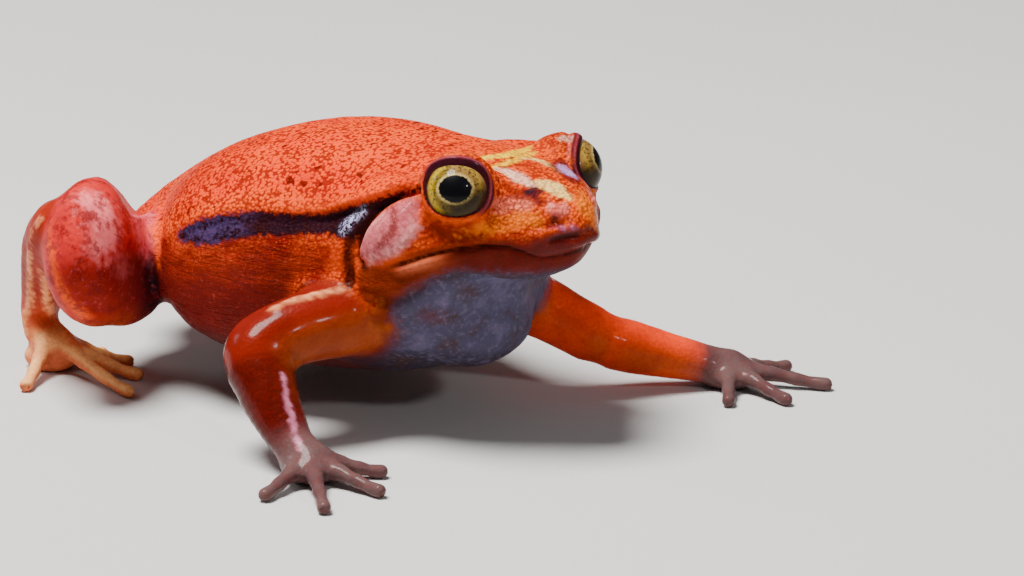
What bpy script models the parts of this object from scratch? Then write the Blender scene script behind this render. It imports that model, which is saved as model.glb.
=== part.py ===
# Tomato frog, adult female, life size, standing with the right arm back and the left arm forward.
# Metres. +X is towards the snout, +Y to the frog's left, +Z up, and the feet stand on z = 0.

import math

import bmesh
import bpy
import numpy as np
from mathutils import Matrix, Vector
from mathutils.bvhtree import BVHTree

# Driving dimensions, written in millimetres and turned into metres by MM
MM = 0.001
GAP = 0.3 * MM
VOXEL = 0.75 * MM
WELD = 0.01 * MM

SNOUT_X = 46.3
VENT_X = -44.5
BACK_HEIGHT = 41.5

EYE_RADIUS = 4.7
EYES = {"right": (32.6, -12.6, 39.4), "left": (32.2, 12.0, 37.6)}
EYE_OUT_DEGREES = 60.0
EYE_UP_DEGREES = 12.0
LID_RADIUS = 5.6
LID_SINK = 1.4
LID_OPENING_DEGREES = 62.0

MOUTH_CORNER_X = 23.5
NOSTRIL = (43.9, 4.9, 36.2)
NOSTRIL_RADIUS = 0.75

# Ridges and grooves of the head: distance from their line, width and height, and for the lid rim degrees
UPPER_LIP = (1.3, 1.0, 0.45)
LOWER_LIP = (-1.5, 1.1, 0.50)
MOUTH_GROOVE = (0.0, 0.7, -0.35)
LID_RIM = (LID_OPENING_DEGREES + 4.0, 9.0, 0.55)
EYE_FOLD = (1.2, 1.4, 0.55)
EYE_FOLD_GROOVE = (-1.2, 1.2, -0.45)

# Triangles of each form before it is parted
TRUNK_TRIANGLES = 4000
ARM_TRIANGLES = 460
LEG_TRIANGLES = 440
THIGH_TRIANGLES = 340

# Cross sections of head and trunk: x, top, underside, half width, height of the widest place,
# roundness of the upper half and of the lower half (2 is an ellipse, more is squarer)
SECTIONS = [
    (SNOUT_X, 35.2, 32.0, 1.4, 33.5, 2.0, 2.0),
    (45.7, 36.6, 31.0, 3.1, 33.5, 2.1, 2.0),
    (44.0, 38.1, 30.0, 5.3, 33.4, 2.1, 2.0),
    (41.4, 39.4, 28.8, 7.9, 33.1, 2.1, 2.0),
    (38.0, 40.5, 26.8, 10.8, 32.6, 2.0, 2.0),
    (34.0, 41.2, 22.8, 13.6, 31.7, 2.0, 2.0),
    (29.0, 41.6, 14.6, 16.4, 30.2, 2.0, 2.1),
    (23.0, 41.7, 9.8, 17.9, 28.0, 2.1, 2.2),
    (16.0, BACK_HEIGHT, 7.2, 18.4, 25.5, 2.2, 2.3),
    (8.0, BACK_HEIGHT, 5.8, 20.2, 23.5, 2.3, 2.3),
    (0.0, 41.0, 5.2, 22.6, 22.5, 2.3, 2.4),
    (-9.0, 39.4, 5.2, 24.0, 21.0, 2.3, 2.4),
    (-17.0, 36.8, 5.8, 22.6, 20.5, 2.3, 2.3),
    (-22.5, 34.2, 7.0, 18.8, 20.5, 2.2, 2.2),
    (-28.0, 31.2, 8.8, 14.6, 20.0, 2.1, 2.1),
    (-35.0, 26.8, 11.2, 10.6, 19.0, 2.1, 2.0),
    (-40.5, 22.8, 14.2, 7.4, 18.4, 2.0, 2.0),
    (-43.4, 20.8, 16.0, 4.6, 18.3, 2.0, 2.0),
    (VENT_X, 19.6, 17.0, 2.2, 18.2, 2.0, 2.0),
]

# Lines that part the trunk, seen from the side: x and height, each running outwards from the jaw joint
JAW_JOINT = (17.4, 27.4)
MOUTH_LINE = [
    (MOUTH_CORNER_X, 27.9),
    (27.5, 29.4),
    (32.0, 31.2),
    (36.5, 32.3),
    (39.5, 32.2),
    (42.0, 31.2),
    (45.0, 30.7),
    (47.6, 30.8),
    (60.0, 31.0),
]
NECK_LINE = [(16.6, 34.0), (14.0, 42.0), (11.0, 52.0)]
THROAT_LINE = [(20.5, 22.6), (26.0, 17.0), (32.0, 10.5), (38.0, 2.0), (42.0, -6.0)]
BLOCKS = {
    "head": [JAW_JOINT, *MOUTH_LINE, (60.0, 52.0), *reversed(NECK_LINE)],
    "lower_jaw": [JAW_JOINT, *THROAT_LINE, (60.0, -6.0), *reversed(MOUTH_LINE)],
    "torso": [JAW_JOINT, *NECK_LINE, (-60.0, 52.0), (-60.0, -6.0), *reversed(THROAT_LINE)],
}
BLOCK_HALF_WIDTH = 30.0
CLEARANCE = 1.1 * GAP

# Limb centre lines: x, y, z and radius, on the frog's right (y < 0) or left (y > 0)
ARMS = {
    "right": [
        (16.0, -11.0, 17.6, 6.2),
        (14.8, -18.0, 18.0, 5.5),
        (12.4, -25.0, 17.4, 5.1),
        (10.6, -30.6, 15.0, 5.2),
        (13.2, -32.2, 11.4, 4.8),
        (17.0, -33.4, 7.6, 4.0),
        (20.8, -34.2, 4.4, 3.1),
        (24.0, -34.2, 2.9, 2.9),
    ],
    "left": [
        (15.5, 9.5, 18.0, 6.2),
        (19.5, 13.4, 15.6, 5.4),
        (24.0, 17.2, 12.8, 4.5),
        (29.0, 22.6, 8.6, 4.3),
        (33.0, 28.0, 6.3, 4.0),
        (36.6, 32.6, 4.5, 3.4),
        (39.6, 36.4, 3.3, 3.0),
        (41.0, 38.2, 2.8, 2.8),
    ],
}
LEGS = {
    "right": [
        (-21.5, -32.0, 26.5, 4.2),
        (-28.5, -31.5, 26.0, 4.9),
        (-35.2, -28.0, 21.5, 5.0),
        (-39.8, -25.6, 15.8, 4.2),
        (-43.0, -24.0, 10.9, 3.4),
        (-43.6, -24.1, 8.2, 3.1),
        (-42.6, -24.3, 5.4, 2.8),
        (-40.5, -24.6, 3.4, 2.5),
    ],
    "left": [
        (-18.0, 34.0, 24.5, 4.2),
        (-24.5, 35.0, 23.8, 4.9),
        (-32.5, 31.2, 18.8, 5.0),
        (-38.6, 26.8, 12.8, 4.2),
        (-42.0, 24.0, 8.2, 3.4),
        (-39.6, 26.2, 5.8, 3.1),
        (-35.0, 29.6, 3.8, 2.7),
        (-31.0, 32.4, 2.8, 2.5),
    ],
}

# Ellipsoids that fill out head, shoulders and thighs: centre, half sizes, direction of the first one
THIGHS = {
    "right": ((-27.2, -26.6, 21.8), (14.2, 7.0, 11.2), (0.42, -0.82, 0.36)),
    "left": ((-24.5, 26.0, 20.4), (15.5, 7.2, 10.2), (0.45, 0.85, 0.22)),
}
HIPS = {
    "right": ((-31.0, -14.5, 18.5), (9.5, 6.6, 7.2), (0.2, -0.97, 0.1)),
    "left": ((-30.5, 14.0, 18.0), (9.5, 6.6, 7.2), (0.2, 0.97, 0.1)),
}
THIGH_ROOTS = {
    "right": ((-27.0, -22.0, 17.2), (8.2, 6.2, 7.6), (0.3, -0.95, -0.1)),
    "left": ((-25.8, 21.6, 16.6), (8.2, 6.2, 7.4), (0.3, 0.95, -0.1)),
}
CHEEK = ((21.5, 12.2, 31.5), (9.5, 6.3, 8.0), (1.0, 0.12, -0.25))
JAW_LOBE = ((24.5, 12.2, 26.2), (9.5, 5.4, 4.4), (1.0, -0.15, 0.30))
THROAT = ((22.6, 0.0, 20.6), (11.4, 12.4, 11.8), (1.0, 0.0, -0.1))
SHOULDER = ((13.0, 12.6, 18.5), (9.0, 5.4, 8.6), (1.0, 0.0, 0.0))

# Digits: direction in degrees from +X towards +Y, length from the middle of the palm or sole
HANDS = {
    "right": ((24.0, -34.2), [(44.0, 10.6), (4.0, 13.4), (-38.0, 15.6), (-80.0, 11.6)]),
    "left": ((41.0, 38.2), [(-50.0, 11.0), (-8.0, 13.4), (32.0, 15.6), (76.0, 11.6)]),
}
FEET = {
    "right": ((-41.2, -24.4), [(70.0, 9.0), (42.0, 12.5), (17.0, 16.0), (-6.0, 20.5), (-60.0, 12.5)]),
    "left": ((-31.6, 32.0), [(-30.0, 11.0), (-6.0, 16.0), (14.0, 23.0), (34.0, 31.0), (60.0, 21.0)]),
}
FINGER_RADII = [1.55, 1.25, 1.15, 1.05, 1.25, 0.55]
PALM = (4.8, 4.4, 2.5)
SOLE = (5.0, 3.8, 2.3)
DIGIT_REACH = [0.08, 0.30, 0.52, 0.74, 0.92, 1.0]
DIGIT_HEIGHTS = [2.3, 2.4, 1.9, 1.25, 1.05, 0.95]
TOE_ARCH = {"right": 2.6, "left": 0.4}

# Thin cuts that part the limbs: centre, normal, radius
ARM_CUTS = {
    "right": [
        ((11.6, -31.6, 13.2), (0.50, -0.36, -0.78), 9.0),
        ((20.2, -34.1, 5.4), (0.76, -0.12, -0.64), 6.0),
    ],
    "left": [
        ((29.5, 23.4, 8.6), (0.60, 0.66, -0.42), 7.4),
        ((38.4, 34.8, 3.8), (0.60, 0.76, -0.24), 5.6),
    ],
}
LEG_CUTS = {
    "right": [
        ((-42.8, -24.1, 11.2), (-0.45, 0.2, -0.87), 6.2),
        ((-42.6, -24.3, 5.5), (0.25, -0.05, -0.97), 6.0),
    ],
    "left": [
        ((-40.0, 25.5, 8.6), (0.1, 0.08, -1.0), 7.6),
        ((-34.0, 30.3, 3.5), (0.80, 0.58, -0.2), 5.5),
    ],
}

# A point inside each piece, by which its surface is known after the cuts
ARM_SEEDS = {
    "right": {
        "upper_arm": (12.0, -25.0, 18.8),
        "forearm": (15.0, -33.1, 9.6),
        "hand": (24.0, -34.2, 2.4),
    },
    "left": {"upper_arm": (24.0, 17.4, 13.2), "forearm": (34.5, 30.0, 5.6), "hand": (41.0, 38.2, 2.4)},
}
LEG_SEEDS = {
    "right": {
        "shank": (-36.0, -27.5, 20.5),
        "tarsus": (-43.5, -24.1, 8.0),
        "foot": (-40.2, -24.6, 2.4),
    },
    "left": {"shank": (-35.0, 29.2, 16.2), "tarsus": (-38.6, 27.0, 5.2), "foot": (-30.5, 32.4, 2.2)},
}

SKIN_ROUGHNESS = 0.38
EYE_ROUGHNESS = 0.12
SHARP_DEGREES = 50.0
COLOURS = {
    "head": (0.78, 0.17, 0.03),
    "lower_jaw": (0.62, 0.45, 0.48),
    "torso": (0.66, 0.09, 0.02),
    "upper_arm": (0.55, 0.07, 0.02),
    "forearm": (0.60, 0.09, 0.02),
    "hand": (0.42, 0.16, 0.12),
    "thigh": (0.60, 0.08, 0.03),
    "shank": (0.63, 0.12, 0.03),
    "tarsus": (0.68, 0.24, 0.10),
    "foot": (0.70, 0.32, 0.16),
    "eye": (0.30, 0.22, 0.03),
}


def at(point):
    return Vector(point) * MM


def collection(name):
    made = bpy.data.collections.new(name)
    bpy.context.scene.collection.children.link(made)
    return made


def mesh_object(name, mesh, home):
    made = bpy.data.objects.new(name, mesh)
    home.objects.link(made)
    return made


def object_from_bmesh(name, bm, home):
    mesh = bpy.data.meshes.new(name)
    bm.to_mesh(mesh)
    bm.free()
    return mesh_object(name, mesh, home)


def evaluated_copy(source):
    depsgraph = bpy.context.evaluated_depsgraph_get()
    mesh = bpy.data.meshes.new_from_object(source.evaluated_get(depsgraph))
    mesh.transform(source.matrix_world)
    return mesh


def bake_modifiers(source):
    mesh = evaluated_copy(source)
    source.modifiers.clear()
    source.matrix_world = Matrix.Identity(4)
    source.data = mesh


# Smooth path through the given rows, each row being a place with its sizes
def smooth_rows(rows, steps):
    table = np.array(rows, dtype=float)
    padded = np.vstack([2 * table[0] - table[1], table, 2 * table[-1] - table[-2]])
    result = []
    for index in range(len(table) - 1):
        before, start, end, after = padded[index:index + 4]
        for step in range(steps):
            t = step / steps
            result.append(0.5 * (
                2 * start
                + (end - before) * t
                + (2 * before - 5 * start + 4 * end - after) * t ** 2
                + (3 * start - before - 3 * end + after) * t ** 3
            ))
    result.append(table[-1])
    return result


def rounded(value, power):
    return math.copysign(abs(value) ** (2 / power), value)


# Loft of head and trunk through its cross sections, closed at snout and vent
def trunk(home):
    around = 48
    bm = bmesh.new()
    rings = []
    for x, top, under, half, widest, upper, lower in smooth_rows(SECTIONS, 3):
        ring = []
        for step in range(around):
            angle = 2 * math.pi * step / around
            power = upper if math.sin(angle) > 0 else lower
            rise = top - widest if math.sin(angle) > 0 else widest - under
            y = half * rounded(math.cos(angle), power)
            z = widest + rise * rounded(math.sin(angle), power)
            ring.append(bm.verts.new(at((x, y, z))))
        rings.append(ring)
    for front, back in zip(rings, rings[1:]):
        for step in range(around):
            after = (step + 1) % around
            bm.faces.new((front[step], front[after], back[after], back[step]))
    bm.faces.new(rings[0])
    bm.faces.new(rings[-1])
    bmesh.ops.recalc_face_normals(bm, faces=bm.faces)
    return object_from_bmesh("trunk", bm, home)


def ellipsoid(name, centre, half_sizes, direction, home):
    bm = bmesh.new()
    bmesh.ops.create_uvsphere(bm, u_segments=32, v_segments=20, radius=1.0)
    forward = Vector(direction).normalized()
    side = Vector((0, 0, 1)).cross(forward).normalized()
    turn = Matrix((forward, side, forward.cross(side))).transposed().to_4x4()
    stretch = Matrix.Diagonal((*[size * MM for size in half_sizes], 1.0))
    bm.transform(Matrix.Translation(at(centre)) @ turn @ stretch)
    return object_from_bmesh(name, bm, home)


def mirrored(shape, side):
    (x, y, z), half_sizes, direction = shape
    return (x, y * side, z), half_sizes, (direction[0], direction[1] * side, direction[2])


# A row of a tube's round end, its share of the end radius beyond the last row
def cap_row(row, outward, share):
    return np.append(row[:3] + outward * row[3] * share, row[3] * math.sqrt(1 - share * share))


# Tube along a smooth path whose radius follows the rows
def tube(name, rows, home, steps=3, sides=4, round_ends=True):
    path = smooth_rows(rows, steps)
    if round_ends:
        first, second, last, previous = path[0], path[1], path[-1], path[-2]
        back = (first[:3] - second[:3]) / np.linalg.norm(first[:3] - second[:3])
        ahead = (last[:3] - previous[:3]) / np.linalg.norm(last[:3] - previous[:3])
        start = [cap_row(first, back, share) for share in (0.95, 0.6)]
        end = [cap_row(last, ahead, share) for share in (0.6, 0.95)]
        path = start + path + end
    curve = bpy.data.curves.new(name, "CURVE")
    curve.dimensions = "3D"
    curve.bevel_depth = MM
    curve.bevel_resolution = sides
    curve.use_fill_caps = True
    spline = curve.splines.new("POLY")
    spline.points.add(len(path) - 1)
    for point, row in zip(spline.points, path):
        point.co = (*at(row[:3]), 1.0)
        point.radius = row[3]
    source = mesh_object(name + "_path", curve, home)
    mesh = evaluated_copy(source)
    bpy.data.objects.remove(source)
    bm = bmesh.new()
    bm.from_mesh(mesh)
    bmesh.ops.remove_doubles(bm, verts=bm.verts, dist=WELD)
    bmesh.ops.recalc_face_normals(bm, faces=bm.faces)
    return object_from_bmesh(name, bm, home)


def joined(name, sources, home):
    bm = bmesh.new()
    for source in sources:
        bm.from_mesh(source.data)
        bpy.data.objects.remove(source)
    return object_from_bmesh(name, bm, home)


# One skin over overlapping pieces, with soft fillets where they meet
def fused(name, sources, home, smoothing):
    body = joined(name, sources, home)
    remesh = body.modifiers.new("Skin", "REMESH")
    remesh.mode = "VOXEL"
    remesh.voxel_size = VOXEL
    soften = body.modifiers.new("Soften", "SMOOTH")
    soften.factor = 0.5
    soften.iterations = smoothing
    bake_modifiers(body)
    return body


def largest_surface(mesh):
    bm = bmesh.new()
    bm.from_mesh(mesh)
    islands = surfaces(bm)
    keep = max(islands, key=lambda faces: sum(face.calc_area() for face in faces))
    drop = [face for face in bm.faces if face not in keep]
    bmesh.ops.delete(bm, geom=drop, context="FACES")
    loose = [vert for vert in bm.verts if not vert.link_faces]
    bmesh.ops.delete(bm, geom=loose, context="VERTS")
    bmesh.ops.triangulate(bm, faces=bm.faces)
    bmesh.ops.dissolve_degenerate(bm, edges=bm.edges, dist=WELD)
    bmesh.ops.triangulate(bm, faces=bm.faces)
    bm.to_mesh(mesh)
    bm.free()


def surfaces(bm):
    seen = set()
    found = []
    for start in bm.faces:
        if start in seen:
            continue
        island = {start}
        front = [start]
        while front:
            face = front.pop()
            for edge in face.edges:
                for other in edge.link_faces:
                    if other not in island:
                        island.add(other)
                        front.append(other)
        seen |= island
        found.append(island)
    return found


def boolean(target, other, operation):
    step = target.modifiers.new("Boolean", "BOOLEAN")
    step.operation = operation
    step.object = other
    step.solver = "EXACT"
    bake_modifiers(target)
    bpy.data.objects.remove(other)


def simplified(piece, triangles):
    thin = piece.modifiers.new("Thin", "DECIMATE")
    piece.data.calc_loop_triangles()
    thin.ratio = triangles / len(piece.data.loop_triangles)
    bake_modifiers(piece)


# Points and normals of a mesh, in millimetres, and moving its points along the normals
def points_and_normals(mesh):
    count = len(mesh.vertices)
    points = np.empty(count * 3)
    normals = np.empty(count * 3)
    mesh.vertices.foreach_get("co", points)
    mesh.vertices.foreach_get("normal", normals)
    return points.reshape(-1, 3) / MM, normals.reshape(-1, 3)


def raise_points(mesh, heights):
    points, normals = points_and_normals(mesh)
    moved = (points + normals * heights[:, None]) * MM
    mesh.vertices.foreach_set("co", moved.ravel())
    mesh.update()


def fade(value, start, end):
    t = np.clip((value - start) / (end - start), 0.0, 1.0)
    return t * t * (3 - 2 * t)


def sign_of(side):
    return 1 if side == "left" else -1


def eye_axis(side):
    out = math.radians(EYE_OUT_DEGREES)
    up = math.radians(EYE_UP_DEGREES)
    return Vector((math.cos(out) * math.cos(up), sign_of(side) * math.sin(out) * math.cos(up), math.sin(up)))


# Height of a ridge or groove at the given distances from its line
def ridge(distance, shape):
    place, width, height = shape
    return height * np.exp(-((distance - place) / width) ** 2)


# Lips along the mouth, lids round the eyes and the fold from each eye over the shoulder
def shape_head(mesh):
    points, _ = points_and_normals(mesh)
    x, y, z = points.T
    line = np.array(MOUTH_LINE)
    above = z - np.interp(x, line[:, 0], line[:, 1])
    lips = ridge(above, UPPER_LIP) + ridge(above, LOWER_LIP) + ridge(above, MOUTH_GROOVE)
    heights = lips * fade(x, MOUTH_CORNER_X - 3.0, MOUTH_CORNER_X + 2.0)
    for side, centre in EYES.items():
        axis = np.array(eye_axis(side))
        offset = points - np.array(centre)
        distance = np.linalg.norm(offset, axis=1)
        angle = np.degrees(np.arccos(np.clip(offset @ axis / distance, -1, 1)))
        heights += fade(distance, 11.0, 7.5) * ridge(angle, LID_RIM)
        behind = 28.0 - x
        over_fold = z - (38.2 - 0.20 * behind - 0.006 * behind ** 2)
        along = fade(x, 4.0, 14.0) * fade(x, 30.0, 25.0) * fade(sign_of(side) * y, 9.0, 13.0)
        heights += along * (ridge(over_fold, EYE_FOLD) + ridge(over_fold, EYE_FOLD_GROOVE))
    raise_points(mesh, heights)


# Fingers or toes spread from a palm, their undersides on the ground
def digits(name, palm, arch, home):
    (palm_x, palm_y), spread = palm
    made = []
    for number, (degrees, length) in enumerate(spread, start=1):
        angle = math.radians(degrees)
        rows = []
        for share, height, radius in zip(DIGIT_REACH, DIGIT_HEIGHTS, FINGER_RADII):
            x = palm_x + math.cos(angle) * length * share
            y = palm_y + math.sin(angle) * length * share
            rows.append((x, y, height + arch * (1 - share) ** 2, radius))
        made.append(tube(f"{name}_digit_{number}", rows, home, steps=1, sides=2, round_ends=False))
    return made


def disc(centre, normal, radius, home):
    bm = bmesh.new()
    bmesh.ops.create_cone(
        bm, cap_ends=True, segments=24, radius1=radius * MM, radius2=radius * MM, depth=GAP
    )
    turn = Vector(normal).to_track_quat("Z", "Y").to_matrix().to_4x4()
    bm.transform(Matrix.Translation(at(centre)) @ turn)
    return object_from_bmesh("cut", bm, home)


# Block with the given outline in the x-z plane, drawn in by half a gap and carried across the body
def block(outline, home):
    corners = [Vector(spot) for spot in outline]
    bm = bmesh.new()
    near = []
    far = []
    for index, corner in enumerate(corners):
        arriving = (corner - corners[index - 1]).normalized()
        leaving = (corners[(index + 1) % len(corners)] - corner).normalized()
        turned = Vector((-arriving.y - leaving.y, arriving.x + leaving.x))
        spot = corner * MM + turned / (1 + arriving.dot(leaving)) * GAP / 2
        near.append(bm.verts.new((spot.x, -BLOCK_HALF_WIDTH * MM, spot.y)))
        far.append(bm.verts.new((spot.x, BLOCK_HALF_WIDTH * MM, spot.y)))
    for index in range(len(corners)):
        bm.faces.new((near[index - 1], near[index], far[index], far[index - 1]))
    bm.faces.new(near)
    bm.faces.new(far)
    bmesh.ops.triangulate(bm, faces=bm.faces)
    bmesh.ops.recalc_face_normals(bm, faces=bm.faces)
    return object_from_bmesh("block", bm, home)


def ball(name, centre, radius, home, segments=28):
    bm = bmesh.new()
    bmesh.ops.create_uvsphere(bm, u_segments=segments, v_segments=segments * 2 // 3, radius=radius * MM)
    bm.transform(Matrix.Translation(at(centre)))
    return object_from_bmesh(name, bm, home)


def floor_slab(home):
    bm = bmesh.new()
    bmesh.ops.create_cube(bm, size=1.0)
    bm.transform(Matrix.Translation((0, 0, -0.01)) @ Matrix.Diagonal((0.4, 0.4, 0.02, 1.0)))
    return object_from_bmesh("floor_slab", bm, home)


def inside(tree, point):
    hits = 0
    start = point.copy()
    up = Vector((0.0013, 0.0007, 1.0)).normalized()
    while True:
        spot, _, _, _ = tree.ray_cast(start, up)
        if spot is None:
            return hits % 2 == 1
        hits += 1
        start = spot + up * 1e-6


def object_from_piece(name, piece, home):
    mesh = bpy.data.meshes.new(name)
    piece.to_mesh(mesh)
    return mesh_object(name, mesh, home)


# Each closed surface of a parted body becomes the piece whose seed point it holds
def part_by_seeds(body, seeds, home):
    bm = bmesh.new()
    bm.from_mesh(body.data)
    pieces = []
    for faces in surfaces(bm):
        piece = bmesh.new()
        copies = {}
        for face in faces:
            corners = []
            for vert in face.verts:
                if vert not in copies:
                    copies[vert] = piece.verts.new(vert.co)
                corners.append(copies[vert])
            piece.faces.new(corners)
        bmesh.ops.triangulate(piece, faces=piece.faces)
        pieces.append(piece)
    bm.free()
    made = {}
    for name, seed in seeds.items():
        for piece in pieces:
            if inside(BVHTree.FromBMesh(piece), at(seed)):
                made[name] = object_from_piece(name, piece, home)
    for piece in pieces:
        piece.free()
    bpy.data.objects.remove(body)
    return made


def material(name, colour, roughness):
    made = bpy.data.materials.new(name)
    made.use_nodes = True
    shader = made.node_tree.nodes["Principled BSDF"]
    shader.inputs["Base Color"].default_value = (*colour, 1.0)
    shader.inputs["Roughness"].default_value = roughness
    shader.inputs["Metallic"].default_value = 0.0
    return made


# Head, jaw and trunk in one, each then kept where its block is
def make_trunk(home, cutters):
    pieces = [trunk(home), ellipsoid("throat", *THROAT, home)]
    for side, centre in EYES.items():
        for name, shape in (("cheek", CHEEK), ("jaw_lobe", JAW_LOBE), ("shoulder", SHOULDER)):
            pieces.append(ellipsoid(name, *mirrored(shape, sign_of(side)), home))
        pieces.append(ball("lid", Vector(centre) - eye_axis(side) * LID_SINK, LID_RADIUS, home, 32))
    body = fused("body", pieces, home, 4)
    shape_head(body.data)
    simplified(body, TRUNK_TRIANGLES)
    made = {}
    for name, outline in BLOCKS.items():
        made[name] = mesh_object(name, body.data.copy(), home)
        boolean(made[name], block(outline, cutters), "INTERSECT")
    bpy.data.objects.remove(body)
    return made


# A limb in one, parted by thin discs
def make_limb(side, pieces, triangles, cuts, seeds, home, cutters):
    limb = fused("limb", pieces, home, 3)
    simplified(limb, triangles)
    for cut in cuts[side]:
        boolean(limb, disc(*cut, cutters), "DIFFERENCE")
    named = {f"{name}_{side}": seed for name, seed in seeds[side].items()}
    return part_by_seeds(limb, named, home)


def palm_pad(palm, half_sizes, home):
    return ellipsoid("pad", (*palm[0], half_sizes[2] - 0.3), half_sizes, (1.0, 0.0, 0.0), home)


# What lies against a neighbour is cut back to one gap from it
def cut_clear(piece, neighbour, cutters):
    swollen = mesh_object("swollen", neighbour.data.copy(), cutters)
    raise_points(swollen.data, np.full(len(swollen.data.vertices), CLEARANCE / MM))
    boolean(piece, swollen, "DIFFERENCE")
    largest_surface(piece.data)


# Puts the origin on the ground, in the middle of the frog's length and width
def centre_on_ground(pieces):
    corners = [vert.co for piece in pieces for vert in piece.data.vertices]
    x = (min(corner.x for corner in corners) + max(corner.x for corner in corners)) / 2
    y = (min(corner.y for corner in corners) + max(corner.y for corner in corners)) / 2
    for piece in pieces:
        piece.data.transform(Matrix.Translation((-x, -y, 0)))


def main():
    for old in list(bpy.data.objects):
        bpy.data.objects.remove(old)
    frog = collection("tomato_frog")
    cutters = collection("cutters")

    made = make_trunk(frog, cutters)
    for side in ("right", "left"):
        arm = [tube("arm", ARMS[side], frog), palm_pad(HANDS[side], PALM, frog)]
        made.update(make_limb(side, arm, ARM_TRIANGLES, ARM_CUTS, ARM_SEEDS, frog, cutters))
        leg = [tube("leg", LEGS[side], frog), palm_pad(FEET[side], SOLE, frog)]
        made.update(make_limb(side, leg, LEG_TRIANGLES, LEG_CUTS, LEG_SEEDS, frog, cutters))
        shapes = {"thigh": THIGHS[side], "thigh_root": THIGH_ROOTS[side], "hip": HIPS[side]}
        thigh = [ellipsoid(name, *shape, frog) for name, shape in shapes.items()]
        made["thigh_" + side] = fused("thigh_" + side, thigh, frog, 3)
        simplified(made["thigh_" + side], THIGH_TRIANGLES)

    for side in ("right", "left"):
        for name, neighbours in (
            ("upper_arm_", ("torso", "lower_jaw", "head")),
            ("thigh_", ("torso",)),
            ("shank_", ("torso", "thigh_" + side)),
            ("tarsus_", ("torso", "thigh_" + side)),
        ):
            for neighbour in neighbours:
                cut_clear(made[name + side], made[neighbour], cutters)
        for name, spread, arch in (("hand_", HANDS, 0.0), ("foot_", FEET, TOE_ARCH[side])):
            for digit in digits(name + side, spread[side], arch, frog):
                boolean(made[name + side], digit, "UNION")
            boolean(made[name + side], floor_slab(cutters), "DIFFERENCE")
    for side, centre in EYES.items():
        nostril = (NOSTRIL[0], NOSTRIL[1] * sign_of(side), NOSTRIL[2])
        boolean(made["head"], ball("socket", centre, EYE_RADIUS + GAP / MM, cutters, 20), "DIFFERENCE")
        boolean(made["head"], ball("nostril", nostril, NOSTRIL_RADIUS, cutters, 12), "DIFFERENCE")
        made["eye_" + side] = ball("eye_" + side, centre, EYE_RADIUS, frog, 20)

    centre_on_ground(made.values())
    for name, piece in made.items():
        kind = name.removesuffix("_right").removesuffix("_left")
        piece.name = name
        largest_surface(piece.data)
        piece.data.materials.clear()
        roughness = EYE_ROUGHNESS if kind == "eye" else SKIN_ROUGHNESS
        piece.data.materials.append(material(name, COLOURS[kind], roughness))
        piece.data.shade_smooth()
        piece.data.set_sharp_from_angle(angle=math.radians(SHARP_DEGREES))


main()
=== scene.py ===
# Tomato frog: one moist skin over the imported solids, with the eyeballs as pieces of their own.
import math
import bmesh
import bpy
import numpy as np
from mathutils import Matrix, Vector, noise
from mathutils.bvhtree import BVHTree


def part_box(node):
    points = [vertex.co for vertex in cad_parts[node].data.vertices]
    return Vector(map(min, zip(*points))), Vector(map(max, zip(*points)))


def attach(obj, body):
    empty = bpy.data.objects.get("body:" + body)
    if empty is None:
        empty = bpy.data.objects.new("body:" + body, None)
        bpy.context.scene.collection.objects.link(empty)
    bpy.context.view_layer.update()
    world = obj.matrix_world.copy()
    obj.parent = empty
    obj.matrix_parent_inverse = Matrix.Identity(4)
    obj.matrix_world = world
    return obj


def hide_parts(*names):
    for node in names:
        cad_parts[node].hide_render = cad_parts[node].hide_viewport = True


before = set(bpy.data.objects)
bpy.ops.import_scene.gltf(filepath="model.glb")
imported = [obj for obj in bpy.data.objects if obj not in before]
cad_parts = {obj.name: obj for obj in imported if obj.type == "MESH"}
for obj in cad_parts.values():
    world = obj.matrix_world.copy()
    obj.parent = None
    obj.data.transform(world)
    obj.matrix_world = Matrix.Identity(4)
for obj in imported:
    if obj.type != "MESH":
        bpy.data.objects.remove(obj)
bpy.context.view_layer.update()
mm = 0.001
tiny, farAway = 1e-9, 1e9

# Places below are in millimetres from the frog's own middle line, snout towards +X and left side +Y.
# An eye has its centre, its side, how far its upper lid stands out, and the direction it looks in.
eyes = {
    "right": {"centre": (32.6, -12.6, 39.4), "side": -1.0, "swell": 0.55, "gaze": (0.583, -0.734, 0.346)},
    "left": {"centre": (32.2, 12.0, 37.6), "side": 1.0, "swell": 0.2, "gaze": (0.72, 0.59, 0.36)},
}
eyeLow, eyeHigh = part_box("eye_right")
shift = np.array(eyes["right"]["centre"]) - np.array((eyeLow + eyeHigh) / 2) / mm


def toFrog(points):
    return points / mm + shift


def toFrame(points):
    return (points - shift) * mm


# 0 at the start and 1 at the end, with soft ends
def fade(value, start, end):
    share = np.clip((value - start) / (end - start), 0.0, 1.0)
    return share * share * (3 - 2 * share)


# 1 on a line, and less and less away from it
def ridge(distance, width):
    return np.exp(-(distance / width) ** 2)


# Reads a line of places and heights at every value
def along(value, rows):
    table = np.array(rows, dtype=float)
    return np.interp(value, table[:, 0], table[:, 1])


# A smooth curve through the rows
def smoothPath(rows, steps=3):
    table = np.array(rows, dtype=float)
    padded = np.vstack([2 * table[0] - table[1], table, 2 * table[-1] - table[-2]])
    result = []
    for index in range(len(table) - 1):
        before, start, end, after = padded[index:index + 4]
        for step in range(steps):
            t = step / steps
            result.append(0.5 * (
                2 * start + (end - before) * t
                + (2 * before - 5 * start + 4 * end - after) * t ** 2
                + (3 * start - before - 3 * end + after) * t ** 3
            ))
    result.append(table[-1])
    return np.array(result)


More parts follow.
